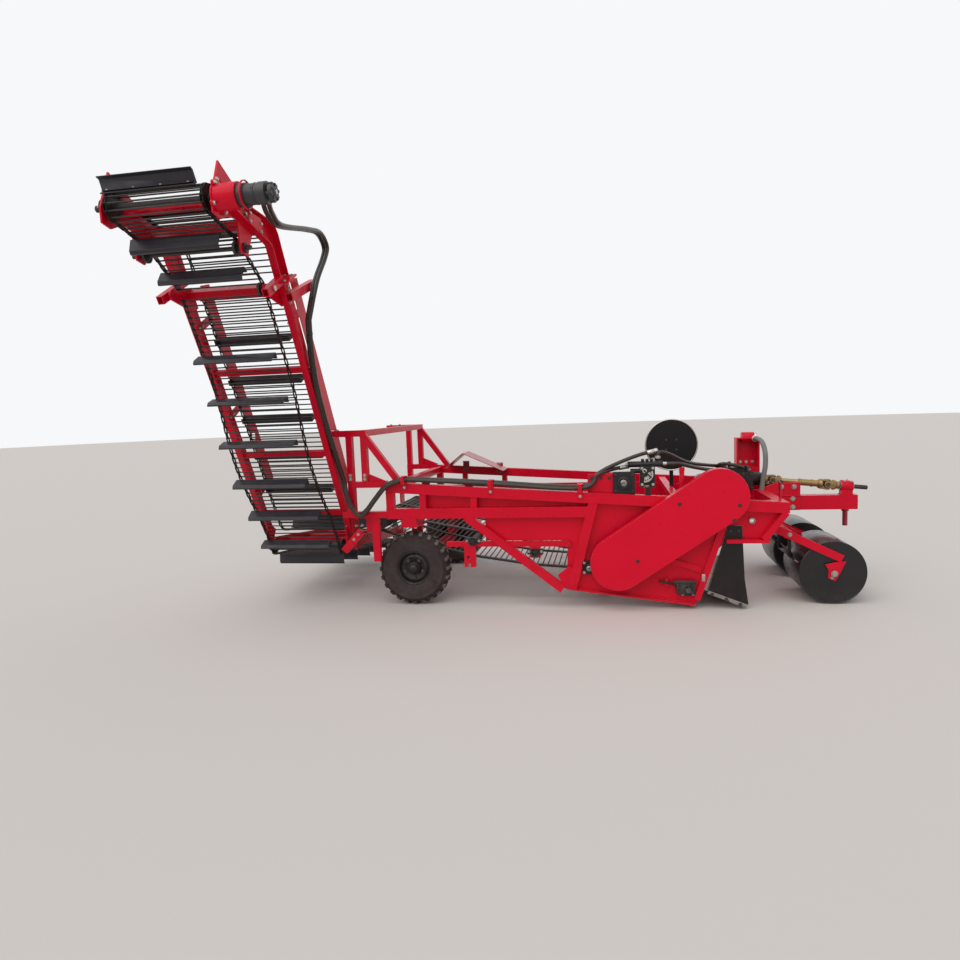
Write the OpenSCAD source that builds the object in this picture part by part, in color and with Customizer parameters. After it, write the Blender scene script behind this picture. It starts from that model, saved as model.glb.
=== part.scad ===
// Trailed two-row potato digger with a side-discharge elevator.
// Millimetres, +Z up, +X towards the drawbar, -Y towards the unloading side.
// The origin is on the ground below the middle of the machine's outline.

/* [Wheels] */
// Outer diameter of a ground wheel
tyre_d = 590; // [500:5:700]
// Width of a ground wheel's tyre
tyre_w = 165; // [120:5:220]
// Diameter of the rim where the tyre seats
rim_d = 270; // [200:5:340]
// Distance between the outer faces of the two ground wheels
track_outer = 1674; // [1500:2:1900]

/* [Side frames] */
// Overall width across the two side frames
frame_w = 1780; // [1500:10:2100]
// Height of a main rail's section
rail_h = 80; // [60:1:100]
// Width of a main rail's section
rail_w = 60; // [40:1:80]
// Height of the upper rail's top edge above the wheel axle's place
upper_rail_z = 989; // [900:1:1100]
// Fall of the upper rail towards the front, millimetres in each metre
upper_rail_fall = 66; // [0:1:100]
// Height of the lower rail's top edge
lower_rail_z = 790; // [720:1:850]
// Rear end of the side frame, from the wheel axle
frame_rear_x = -180; // [-300:5:-100]
// Front end of the side frame, from the wheel axle
frame_front_x = 2835; // [2600:5:3000]
// Thickness of the side sheets
sheet_t = 5; // [3:0.5:8]

/* [Rear tower] */
// Height of the tower's top
tower_z = 1420; // [1200:5:1600]
// Tower's front post, from the wheel axle
tower_x = -345; // [-400:5:-300]
// Length of the tower's top beam
tower_beam_l = 330; // [200:5:500]
// Section of the tower's bars
tower_bar = 50; // [40:1:70]

/* [Drawbar] */
// Front end of the drawbar, from the wheel axle
drawbar_front_x = 3555; // [3300:5:3800]
// Height of the drawbar's top face
drawbar_z = 742; // [650:1:850]
// Height of the drawbar's section
drawbar_h = 118; // [80:1:140]
// Width of the drawbar's section
drawbar_w = 100; // [80:1:140]
// Diameter of the hitch pin
hitch_pin_d = 40; // [25:1:50]
// How far the hitch pin reaches below the drawbar
hitch_pin_drop = 140; // [80:5:200]

/* [Drive line] */
// Tilt of the drive shaft, falling to the front
pto_tilt = 6; // [0:0.5:10]
// Front tip of the drive shaft, from the wheel axle
pto_tip_x = 3640; // [3500:5:3800]
// Height of the drive shaft's front tip
pto_tip_z = 795; // [700:1:900]
// Diameter of the splined input stub
pto_stub_d = 35; // [30:1:45]
// Length of the drive shaft from its tip to the gearbox
pto_len = 830; // [700:5:1000]

/* [Gauge rollers] */
// Diameter of a gauge roller
roller_d = 477; // [400:1:550]
// Width of a gauge roller
roller_w = 490; // [350:5:600]
// Spacing of the two rows
row_spacing = 850; // [700:5:1000]
// Gauge roller's axle, from the wheel axle
roller_x = 3192; // [3050:1:3300]
// Pivot of the roller frame, from the wheel axle
roller_pivot_x = 2765; // [2700:1:2850]
// Height of the roller frame's pivot
roller_pivot_z = 585; // [500:1:650]

/* [Digging share and webs] */
// Width of the share and the webs between the side sheets
// Pitch of the web's rods
rod_pitch = 44; // [36:1:60]
// Diameter of a web's rod
rod_d = 11; // [8:1:16]
// Front roller of the front web, from the wheel axle
front_roller_x = 2126; // [2000:1:2250]
// Height of the front roller of the front web
front_roller_z = 152; // [130:1:250]
// Upper roller of the front web, from the wheel axle
drive_roller_x = 1600; // [1500:1:1700]
// Height of the upper roller of the front web
drive_roller_z = 382; // [330:1:450]
// Front roller of the rear web, from the wheel axle
mid_roller_x = 1398; // [1350:1:1440]
// Height of the front roller of the rear web
mid_roller_z = 314; // [250:1:380]
// Rear roller of the rear web, from the wheel axle
rear_roller_x = -330; // [-400:1:-250]
// Height of the rear roller of the rear web
rear_roller_z = 640; // [560:1:720]
// Diameter of the web rollers
web_roller_d = 120; // [90:1:150]

/* [Chain guard] */
// Radius of the guard's round ends
guard_r = 202; // [160:1:240]
// Depth of the guard's box
guard_depth = 85; // [50:1:120]
// Lower end of the guard, from the wheel axle
guard_low_x = 1612; // [1500:1:1700]
// Height of the guard's lower end
guard_low_z = 368; // [300:1:450]
// Upper end of the guard, from the wheel axle
guard_high_x = 2345; // [2250:1:2450]
// Height of the guard's upper end
guard_high_z = 862; // [750:1:900]

/* [Elevator] */
// Distance between the elevator's two chains
elev_gauge = 604; // [500:2:800]
// Front chain of the elevator, from the wheel axle
elev_front_x = -640; // [-700:1:-600]
// Slope of the elevator's leg, in degrees
elev_angle = 61.5; // [50:0.5:75]
// Slope of the elevator's head, in degrees
head_angle = 9; // [5:0.5:25]
// Foot of the leg's line across the machine, from its middle
foot_y = -787; // [-900:1:-700]
// Height of the foot of the leg's line
foot_z = 455; // [420:1:520]
// Slope of the receiving trough, in degrees
trough_angle = 6; // [0:0.5:9]
// Length of the receiving trough from the knee idler
trough_l = 1480; // [1300:10:1600]
// Length of the leg from its foot to the fold
leg_l = 2180; // [1900:10:2400]
// Depth of the carrying run behind the leg's line
carry_off = 270; // [240:5:320]
// How far the slack return run hangs out at its middle
leg_sag = 88; // [0:2:120]
// Distance between the two runs on the trough
trough_gap = 190; // [160:5:240]
// Length of the head from its bend to the drive sprocket
head_l = 590; // [500:10:800]
// Pitch of the carrier boards
board_pitch = 335; // [260:5:400]
// Length of a carrier board
board_l = 588; // [500:2:600]
// Height of a carrier board
board_h = 92; // [60:1:120]
// Depth of an elevator rail
erail_h = 75; // [60:1:100]
// Width of an elevator rail
erail_w = 50; // [40:1:60]
// Pitch of the elevator's rods
erod_pitch = 42; // [34:1:60]
// Diameter of an elevator rod
erod_d = 10; // [8:1:14]
// Diameter of the hydraulic hoses
hose_d = 24; // [16:1:30]

/* [Hidden] */
red = [0.78, 0.05, 0.10];
dark_red = [0.55, 0.05, 0.08];
black = [0.09, 0.09, 0.10];
grey = [0.45, 0.45, 0.47];
steel = [0.62, 0.62, 0.62];
gold = [0.72, 0.58, 0.30];
rubber = [0.12, 0.12, 0.12];

side_y = frame_w / 2;
rail_in = side_y - rail_w;
wheel_r = tyre_d / 2;
wheel_y = (track_outer - tyre_w) / 2;
function upper_top(x) = upper_rail_z - x * upper_rail_fall / 1000;
function upper_low(x) = upper_top(x) - rail_h;
lower_low = lower_rail_z - rail_h;

elev_rear_x = elev_front_x - elev_gauge;
chain_w = 22;
chain_t = 16;
erail_gap = 30;
erail_front_x = elev_front_x + chain_w / 2 + erail_gap;
erail_rear_x = elev_rear_x - chain_w / 2 - erail_gap;
idler_r = 68;
sprocket_r = 78;

// Turns a direction of the elevator, in degrees above level towards -Y.
function leg_u(a) = [-cos(a), sin(a)];
function leg_n(a) = [-sin(a), -cos(a)];
leg_dir = leg_u(elev_angle);
leg_out = leg_n(elev_angle);
trough_dir = leg_u(trough_angle);
trough_out = leg_n(trough_angle);

// Machine's outline, for the origin below its middle.
foot_plate_w = erail_w + 42;
lug_gap = 6;
mid_x = (pto_tip_x + pto_stub_d / 2 * sin(pto_tilt) + erail_rear_x - lug_gap - foot_plate_w) / 2;
mid_y = -807.6;

// A piece seen from the side: points are [x, z].
module plate_xz(points, y0, y1)
    translate([0, y1, 0]) rotate([90, 0, 0]) linear_extrude(y1 - y0) polygon(points);

// A piece seen from behind: points are [y, z].
module plate_yz(points, x0, x1)
    translate([x0, 0, 0]) rotate([90, 0, 90]) linear_extrude(x1 - x0) polygon(points);

// The corners of a straight bar between two points of a plane.
function bar_points(a, b, t) =
    let (d = (b - a) / norm(b - a), n = [-d[1], d[0]] * t / 2)
    [a + n, a - n, b - n, b + n];

module bar_xz(a, b, t, y0, y1) plate_xz(bar_points(a, b, t), y0, y1);

// Round bars along Y and along X.
module rod_y(x, z, y0, y1, d, sides = 32)
    translate([x, y1, z]) rotate([90, 0, 0]) cylinder(h = y1 - y0, d = d, $fn = sides);
module rod_x(y, z, x0, x1, d, sides = 32)
    translate([x0, y, z]) rotate([0, 90, 0]) cylinder(h = x1 - x0, d = d, $fn = sides);

module box(x0, x1, y0, y1, z0, z1)
    translate([x0, y0, z0]) cube([x1 - x0, y1 - y0, z1 - z0]);

// The same piece on both sides of the machine.
module both_sides() {
    children();
    mirror([0, 1, 0]) children();
}

// Paths in a plane: an arc, its running length, a place and a direction along it.
function arc(c, r, a0, a1, n) = [for (i = [0:n]) c + r * [cos(a0 + (a1 - a0) * i / n),
    sin(a0 + (a1 - a0) * i / n)]];
function turn(v) = atan2(v[1], v[0]);
function lengths(p) = [for (i = 0,
    s = 0; i < len(p); s = s + (i + 1 < len(p) ? norm(p[i + 1] - p[i]) : 0), i = i + 1) s];
function piece_at(acc, s) = max([for (k = [0:len(acc) - 2]) if (acc[k] <= s) k]);
function point_at(p, acc, s) = let (k = piece_at(acc, s))
    p[k] + (p[k + 1] - p[k]) * (s - acc[k]) / (acc[k + 1] - acc[k]);
function unit(v) = v / norm(v);
function dir_at(p, acc, s) = let (k = piece_at(acc, s)) unit(p[k + 1] - p[k]);
function left_of(v) = [-v[1], v[0]];
function meet(a, u, b, v) = a + u * (((b - a)[0] * v[1] - (b - a)[1] * v[0]) / (u[0] * v[1] - u[1] * v[0]));

// A path moved sideways, its corners mitred.
function side_path(p, d, closed) =
    let (n = len(p), last = n - 1)
    [for (i = [0:last])
        let (a = i > 0 ? unit(p[i] - p[i - 1]) : closed ? unit(p[0] - p[last]) : unit(p[1] - p[0]),
             b = i < last ? unit(p[i + 1] - p[i]) : closed ? unit(p[0] - p[last]) : a,
             m = unit(a + b))
        p[i] + left_of(m) * d / (m * a)];

module ribbon(p, t)
    polygon(concat(side_path(p, t / 2, false), [for (i = [len(p) - 1:-1:0]) side_path(p, -t / 2, false)[i]]));
module loop_band(p, t) difference() {
    polygon(side_path(p, -t / 2, true));
    polygon(side_path(p, t / 2, true));
}

// Side frame: sloping upper rail, level lower rail, posts and braces.
post_w = 62;
tilt_top = [1437, upper_low(1437)];
tilt_foot = [1264, 150];
brace_top = [470, lower_low];
brace_foot = [1196, 150];
inner_posts = [115, 522];
member_z = 500;
tail_x = -490;
module frame_side()
    color(red) difference() {
        side_bars();
        for (p = carry_rollers) rod_y(p[0], p[1], -side_y - 1, -rail_in - 30, 72);
        box(mid_roller[0] - 52, mid_roller[0] + 52, -side_y - 1, -rail_in + 1, mid_roller[1] - 52,
            mid_roller[1] + 52);
    }
module side_bars() {
    plate_xz([[frame_rear_x, upper_low(frame_rear_x)], [frame_front_x, upper_low(frame_front_x)],
              [frame_front_x, upper_top(frame_front_x)], [frame_rear_x, upper_top(frame_rear_x)]],
             -side_y, -rail_in);
    box(frame_rear_x, tilt_top[0] - 35, -side_y, -rail_in, lower_low, lower_rail_z);
    box(frame_rear_x, frame_rear_x + post_w, -side_y, -rail_in, lower_low,
        upper_low(frame_rear_x + post_w) + 20);
    for (x = inner_posts)
        box(x - 25, x + 25, -side_y + 12, -rail_in, lower_rail_z - 5, upper_low(x + 25) + 5);
    bar_xz(tilt_foot, tilt_top + [2, 5], 70, -side_y, -rail_in);
    bar_xz(brace_foot, brace_top + [-10, 8], 62, -side_y, -rail_in - 8);
    // Channel beside the rear web and its notched hanger.
    box(290, 1262, -rail_in - 30, -rail_in, member_z - 20, member_z + 20);
    hanger();
    for (p = carry_rollers) box(p[0] - 40, p[0] + 40, -rail_in - 30, -rail_in, p[1] - 40, member_z);
    // Bars of the rear overhang that carry the tower and the elevator.
    box(tail_x, frame_rear_x + 5, -side_y, -rail_in, 962, 1012);
    box(tail_x, frame_rear_x + 5, -side_y, -rail_in, lower_low + 10, lower_low + 60);
    box(tail_x, tail_x + 50, -side_y, -rail_in, lower_low + 10, 1012);
    front_brace();
    box(rear_roller[0] - 40, rear_roller[0] + 40, -rail_in - 8, -rail_in, rear_roller[1] - 40,
        lower_low + 20);
}

module hanger()
    difference() {
        box(432, 520, -side_y + 10, -rail_in, 320, member_z + 20);
        box(455, 480, -side_y, -rail_in + 5, 315, 350);
        box(455, 475, -side_y, -rail_in + 5, 385, 410);
    }

module front_brace() {
    bar_xz([2660, 530], [2815, upper_low(2815) + 5], 45, -side_y, -rail_in);
    box(2400, 2700, -side_y, -rail_in - 8, 505, 530);
    box(frame_rear_x - 130, frame_rear_x - 70, -rail_in - 45, -track_outer / 2 - 6, 364, lower_low + 15);
}

// Outer face of the headstock's plates.
head_plate_t = 16;
head_out_y = drawbar_w / 2 + head_plate_t;

// Cross tubes between the side frames.
cross_tubes = [[-150, 0], [1490, -2.5], [2060, 0]]; // [x, drop below the rail's top]
module frame_cross()
    color(red) {
        for (t = cross_tubes) {
            z = upper_top(t[0]) + t[1] - 15;
            box(t[0] - 30, t[0] + 30, -rail_in, rail_in, z - 60, z);
        }
        both_sides() box(2755, frame_front_x, -rail_in, -head_out_y, upper_low(2755), upper_low(2795) + 75);
        // Gussets in the front corners.
        for (s = [-1, 1]) mirror([0, s < 0 ? 0 : 1, 0])
            translate([0, 0, upper_low(2795) + 60])
                linear_extrude(12) polygon([[2755, -rail_in], [2755, -rail_in + 170], [2585, -rail_in]]);
    }

// Side sheet with its pressed-in stiffeners.
panel_y = rail_in;
panel_points = [[600, 522], [1240, 522], [1222, 138], [2172, 22], [2211, 77], [2290, 388], [2398, 505],
                [2682, 505], [2815, upper_low(2815)], [1440, upper_low(1440)], [1400, lower_low],
                    [600, lower_low]];
shaft_places = [[front_roller_x, front_roller_z], [drive_roller_x, drive_roller_z],
    [mid_roller_x, mid_roller_z]];
module side_panel(shafts)
    color(red) {
        difference() {
            plate_xz(panel_points, -panel_y, -panel_y + sheet_t);
            for (p = shafts) rod_y(p[0], p[1], -panel_y - 5, -panel_y + sheet_t + 5, 60);
            rod_y(2585, 665, -panel_y - 5, -panel_y + sheet_t + 5, 30);
        }
        // Flange along the bottom edge, post along the front edge and a slanting rib.
        bar_xz([1300, 142], [2180, 35], 14, -panel_y - 40, -panel_y);
        bar_xz([2190, 70], [2385, 640], 46, -panel_y - 30, -panel_y);
        bar_xz([1840, 420], [2215, 300], 36, -panel_y - 30, -panel_y);
        rod_ring(2585, 665);
    }
module rod_ring(x, z)
    difference() {
        rod_y(x, z, -panel_y - 12, -panel_y, 46);
        rod_y(x, z, -panel_y - 15, -panel_y + 5, 30);
    }

// Rear tower: an A-frame on each side joined by a cross beam.
module rear_tower()
    color(red) {
        both_sides() {
            for (x = [tower_x, tower_x - 120])
                box(x - 25, x + 25, -side_y, -side_y + tower_bar, 1012, tower_z - 10);
            box(tower_x - tower_beam_l - 20, tower_x + 25, -side_y, -side_y + tower_bar,
                tower_z - tower_bar, tower_z);
            difference() {
                bar_xz([tower_x - 12, tower_z - 25], [-60, 985], tower_bar, -side_y, -side_y + tower_bar);
                plate_xz([[tower_x - 100, 800], [100, 800], [100, upper_top(100)],
                    [frame_rear_x + 5, upper_top(frame_rear_x + 5)],
                          [frame_rear_x + 5, 1012], [tower_x - 100, 1012]], -side_y - 5,
                              -side_y + tower_bar + 5);
            }
            plate_xz([[tower_x + 20, 1012], [tower_x + 20, 1075], [tower_x + 170, 1012]], -side_y + 20,
                -side_y + 28);
        }
        box(tower_x - 35, tower_x + 25, -side_y + tower_bar, side_y - tower_bar, tower_z - tower_bar,
            tower_z);
    }

// Bent cover over the far side's drive, and short stakes on the rails.
stake_places = [135, 480];
module deflector()
    color(dark_red) {
        bar_xz([-20, 985], [164, 1130], 6, rail_in - 330, rail_in);
        bar_xz([164, 1130], [560, 950], 6, rail_in - 330, rail_in);
        for (x = stake_places) for (s = [-1, 1])
            box(x - 32, x + 32, s * (rail_in - 5) - 5, s * (rail_in - 5) + 5, upper_low(x) + 20,
                upper_top(x) + 52);
    }

// Headstock: upright plates and the beams that carry the drawbar.
head_rear_x = 2600;
head_front_x = 3110;
module headstock()
    color(red) {
        for (s = [-1, 1])
            plate_xz([[head_rear_x, drawbar_z - drawbar_h], [head_front_x, drawbar_z - drawbar_h],
                      [head_front_x, drawbar_z + 112], [head_front_x - 190, drawbar_z + 112],
                      [head_front_x - 340, drawbar_z + 60], [head_rear_x, drawbar_z + 60]],
                     s * (head_out_y - head_plate_t / 2) - head_plate_t / 2,
                         s * (head_out_y - head_plate_t / 2) + head_plate_t / 2);
        difference() {
            box(head_rear_x - 70, head_rear_x, -rail_in, rail_in, drawbar_z - 70, drawbar_z + 5);
            box(head_rear_x - 75, head_rear_x + 5, -rail_in - 5, -rail_in + sheet_t + 1, 0, 2000);
            box(head_rear_x - 75, head_rear_x + 5, rail_in - sheet_t - 1, rail_in + 5, 0, 2000);
        }
    }

module drawbar()
    color(red)
        difference() {
            union() {
                box(head_rear_x, drawbar_front_x, -drawbar_w / 2, drawbar_w / 2, drawbar_z - drawbar_h,
                    drawbar_z);
                // Saddle below the shaft bearing.
                box(saddle_x - bearing_l / 2 + 4, saddle_x + bearing_l / 2 - 4, -35, 35, drawbar_z - 1,
                    pto_tip_z);
            }
            translate([hitch_x, 0, drawbar_z - drawbar_h - 5])
                cylinder(h = drawbar_h + 10, d = hitch_shank_d, $fn = 48);
            on_pto() translate([0, 0, bearing_from]) cylinder(h = bearing_l, d = bearing_d, $fn = 48);
        }

// Hitch pin: shank in the drawbar, collar below it and the free end that takes the tractor's drawbar.
hitch_x = drawbar_front_x - 82;
hitch_shank_d = hitch_pin_d + 6;
hitch_collar = 20;
module hitch_pin()
    color(dark_red)
        translate([hitch_x, 0, drawbar_z - drawbar_h - hitch_pin_drop]) {
            cylinder(h = hitch_pin_drop, d = hitch_pin_d - 0.4, $fn = 48);
            translate([0, 0, hitch_pin_drop - hitch_collar])
                cylinder(h = hitch_collar, d = hitch_pin_d + 16, $fn = 48);
            translate([0, 0, hitch_pin_drop - 5]) cylinder(h = drawbar_h + 8, d = hitch_shank_d - 0.4,
                $fn = 48);
        }

// Drive line: one straight tilted line from the stub to the gearbox.
module on_pto() translate([pto_tip_x, 0, pto_tip_z]) rotate([0, -90 + pto_tilt, 0]) children();
bearing_from = 115;
bearing_l = 95;
bearing_d = 92;
journal_d = pto_stub_d + 7;
journal_from = 105;
saddle_x = pto_tip_x - bearing_from - bearing_l / 2;
module pto_bearing()
    color(red)
        on_pto() translate([0, 0, bearing_from]) difference() {
            cylinder(h = bearing_l, d = bearing_d, $fn = 48);
            translate([0, 0, -1]) cylinder(h = bearing_l + 2, d = journal_d + 0.6, $fn = 48);
        }

module yoke(z, turned)
    translate([0, 0, z]) rotate([0, 0, turned]) {
        translate([-27, -27, 0]) cube([54, 54, 16]);
        for (s = [-1, 1]) translate([s * 21 - 6, -20, 14]) cube([12, 40, 52]);
    }

module pto_shaft()
    color(gold)
        on_pto() {
            cylinder(h = journal_from, d = pto_stub_d, $fn = 48);
            translate([0, 0, journal_from]) cylinder(h = 155, d = journal_d, $fn = 48);
            translate([0, 0, 222]) cylinder(h = 40, d = 62, $fn = 48);
            yoke(258, 0);
            translate([0, 0, 312]) rotate([0, 90, 0]) translate([0, 0, -38])
                cylinder(h = 76, d = 22, $fn = 24);
            translate([0, 0, 312]) rotate([90, 0, 0]) translate([0, 0, -38])
                cylinder(h = 76, d = 22, $fn = 24);
            translate([0, 0, 366]) rotate([180, 0, 90]) yoke(0, 0);
            translate([0, 0, 360]) cylinder(h = 340, d = 44, $fn = 48);
            translate([0, 0, 420]) cylinder(h = 110, d = 54, $fn = 48);
            yoke(690, 0);
            translate([0, 0, 744]) rotate([0, 90, 0]) translate([0, 0, -38])
                cylinder(h = 76, d = 22, $fn = 24);
            translate([0, 0, 744]) rotate([90, 0, 0]) translate([0, 0, -38])
                cylinder(h = 76, d = 22, $fn = 24);
            translate([0, 0, 798]) rotate([180, 0, 90]) yoke(0, 0);
            translate([0, 0, 792]) cylinder(h = pto_len - 792, d = 62, $fn = 48);
        }

gear_x = 2560;
gear_z = 880;
module gearbox()
    color(black) {
        on_pto() translate([0, 0, pto_len + 6]) cylinder(h = 90, d = 110, $fn = 48);
        box(gear_x - 110, gear_x + 170, -115, 115, drawbar_z + 60, gear_z + 75);
        box(gear_x - 60, gear_x + 110, -80, 80, gear_z + 70, gear_z + 110);
        // Output shaft towards the chain guard.
        rod_y(guard_high_x, guard_high_z, -side_y - 20, -115, 46);
        rod_y(guard_high_x, guard_high_z, -300, 115, 130);
        box(guard_high_x, gear_x, -115, 115, drawbar_z + 60, gear_z + 30);
    }

// Axle beam with its legs and the spindles of the ground wheels.
leg_y = 650;
module axle()
    color(red) {
        box(-40, 40, -leg_y - 12, leg_y + 12, wheel_r - 40, wheel_r + 40);
        both_sides() {
            box(-45, 45, -leg_y - 12, -leg_y + 12, wheel_r + 38, lower_low - 25);
            box(-60, 60, -side_y, -leg_y + 12, lower_low - 70, lower_low);
            rod_y(0, wheel_r, -wheel_y - 20, -leg_y - 10, 55.4);
        }
    }

lug_n = 22;
lug_h = 12;
module tyre_body()
    rotate([90, 0, 0]) rotate_extrude($fn = 72) polygon([
        [rim_d / 2, -tyre_w / 2 + 27], [rim_d / 2 + 10, -tyre_w / 2 + 25],
        [rim_d / 2 + 30, -tyre_w / 2 + 4], [wheel_r - 60, -tyre_w / 2],
        [wheel_r - lug_h - 12, -tyre_w / 2 + 8], [wheel_r - lug_h, -tyre_w / 2 + 26],
        [wheel_r - lug_h, tyre_w / 2 - 26],
        [wheel_r - lug_h - 12, tyre_w / 2 - 8], [wheel_r - 60, tyre_w / 2],
        [rim_d / 2 + 30, tyre_w / 2 - 4], [rim_d / 2 + 10, tyre_w / 2 - 25],
        [rim_d / 2, tyre_w / 2 - 27]]);
module tyre(y)
    color(rubber)
        translate([0, y, wheel_r]) {
            tyre_body();
            intersection() {
                for (i = [0:lug_n - 1]) for (s = [-1, 1])
                    rotate([0, (i + s / 4) * 360 / lug_n, 0])
                        translate([0, 0, wheel_r - lug_h - 6]) rotate([0, 0, s * 30])
                            translate([-13, s > 0 ? 2 : -tyre_w / 2 + 2, 0])
                                cube([26, tyre_w / 2 - 4, lug_h + 8]);
                rod_y(0, 0, -tyre_w, tyre_w, tyre_d, 72);
            }
        }

seat_gap = 0.15;
module rim(y, s)
    color(black)
        translate([0, y, wheel_r]) rotate([90 * s, 0, 0]) rotate_extrude($fn = 64) polygon([
            [28, -50], [60, -50], [60, 20], [95, 34], [rim_d / 2 - 14, 20],
            [rim_d / 2 - 14, -tyre_w / 2 + 28], [rim_d / 2 + 8, -tyre_w / 2 + 20],
            [rim_d / 2 - seat_gap, -tyre_w / 2 + 24], [rim_d / 2 - seat_gap, tyre_w / 2 - 24],
            [rim_d / 2 + 8, tyre_w / 2 - 20], [rim_d / 2 - 14, tyre_w / 2 - 28],
            [rim_d / 2 - 14, 34], [95, 48], [48, 34], [48, 62], [28, 62]]);

// Gauge rollers and the frame that carries them.
roller_r = roller_d / 2;
roller_y = row_spacing / 2;
arm_gap = 12;
arm_t = 12;
axle_bolt_d = 34;
module gauge_roller(y)
    color(black)
        difference() {
            rod_y(roller_x, roller_r, y - roller_w / 2, y + roller_w / 2, roller_d, 96);
            rod_y(roller_x, roller_r, y - roller_w / 2 + 8, y + roller_w / 2 - 8, roller_d - 12, 96);
            rod_y(roller_x, roller_r, y - roller_w / 2 - 5, y + roller_w / 2 + 5, axle_bolt_d + 2, 48);
        }

module roller_arm(y0, y1) {
    difference() {
        bar_xz([roller_pivot_x, roller_pivot_z], [3250, 348], 58, y0, y1);
        rod_y(roller_pivot_x, roller_pivot_z, y0 - 5, y1 + 5, 34);
    }
    plate_xz([[3275, 330], [3210, 325], [3130, 305], [3155, 260], [3150, 205], [3200, 180], [3232, 235]],
        y0, y1);
}
module roller_frame()
    color(red) {
        for (c = [-roller_y, roller_y]) {
            for (s = [-1, 1])
                roller_arm(c + s * (roller_w / 2 + arm_gap + arm_t / 2) - arm_t / 2,
                           c + s * (roller_w / 2 + arm_gap + arm_t / 2) + arm_t / 2);
            rod_y(roller_x, roller_r, c - roller_w / 2 - arm_gap - arm_t - 8,
                c + roller_w / 2 + arm_gap + arm_t + 8, axle_bolt_d, 48);
        }
        // Cross tube behind the rollers that joins the arms.
        difference() {
            box(2850, 2905, -roller_y - roller_w / 2 - arm_gap, roller_y + roller_w / 2 + arm_gap, 505, 555);
        }
    }

// Pivot shaft of the roller frame on its lugs.
pivot_d = 33;
module roller_pivot()
    color(red) {
        rod_y(roller_pivot_x, roller_pivot_z, -roller_y - 290, roller_y + 290, pivot_d, 48);
        for (c = [-roller_y, roller_y]) for (s = [-1, 1])
            box(roller_pivot_x - 28, roller_pivot_x + 28, c + s * 130 - 8, c + s * 130 + 8,
                roller_pivot_z - 28, upper_low(2755));
    }

// Upright strips with pin holes that set the depth of the rollers.
module depth_bars()
    color(dark_red)
        for (s = [-1, 1])
            difference() {
                box(frame_front_x, frame_front_x + 12, s * 560 - 25, s * 560 + 25, 600, 915);
                for (i = [0:5])
                    translate([frame_front_x - 5, s * 560, 640 + i * 50]) rotate([0, 90, 0])
                        cylinder(h = 30, d = 18, $fn = 24);
            }

// Digging share: a sloping blade on two carriers between the side sheets.
share_back = [2225, 168];
share_tip = [2545, 26];
share_in = rail_in - sheet_t;
module share()
    color(steel) {
        plate_xz([[share_back[0], share_back[1]], [share_tip[0] - 60, share_tip[1] + 18],
            [share_tip[0], share_tip[1]],
                  [share_tip[0] - 70, share_tip[1]], [share_back[0], share_back[1] - 16]], -share_in,
                      share_in);
        for (s = [-1, 1]) plate_xz([[2190, 240], [2330, 400], [2390, 400], [2300, 120], [2190, 165]],
            s * (share_in - 14) - 8, s * (share_in - 14) + 8);
    }

// Upright side blades that cut the row's edges in front of the side sheets.
blade_points = [[2417, 630], [2516, 630], [2534, 230], [2560, 40], [2529, 20], [2269, 123]];
module side_blades()
    color(black)
        both_sides() {
            plate_xz(blade_points, -rail_in - 8, -rail_in);
            plate_xz([[2262, 122], [2275, 138], [2540, 36], [2532, 18]], -rail_in - 20, -rail_in - 8);
        }

// Rod web in the plane of the side: rods fused into its side belts.
belt_t = 14;
belt_w = 40;
module rod_web(path, half_w)
    color(black) {
        closed = concat(path, [path[0]]);
        acc = lengths(closed);
        total = acc[len(acc) - 1];
        n = round(total / rod_pitch);
        for (i = [0:n - 1]) {
            p = point_at(closed, acc, (i + 0.5) * total / n);
            rod_y(p[0], p[1], -half_w, half_w, rod_d, 6);
        }
        for (y = [-half_w + belt_w, 0, half_w - belt_w])
            translate([0, y + belt_w / 2, 0]) rotate([90, 0, 0]) linear_extrude(belt_w)
                loop_band(path, belt_t);
    }

belt_lift = 0.65;
web_turn_steps = 12;
web_r = web_roller_d / 2 + belt_t / 2 + belt_lift;
front_web_half = 770;
rear_web_half = 615;
front_roller = [front_roller_x, front_roller_z];
drive_roller = [drive_roller_x, drive_roller_z];
mid_roller = [mid_roller_x, mid_roller_z];
rear_roller = [rear_roller_x, rear_roller_z];
web_sag = 70;

function loop_path(front, rear, r, sag) =
    let (u = unit(rear - front), a = turn(u))
    concat(arc(front, r, a + 90, a + 270, web_turn_steps),
           arc(rear, r, a - 90, a + 90, web_turn_steps),
           sag > 0 ? [for (k = [0.25, 0.5, 0.75])
               rear + (front - rear) * k + [cos(a + 90), sin(a + 90)] * (r + sag * 4 * k * (1 - k))] : []);

module web_front() rod_web(loop_path(front_roller, drive_roller, web_r, 0), front_web_half);
module web_rear() rod_web(loop_path(mid_roller, rear_roller, web_r, web_sag), rear_web_half);

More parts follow.
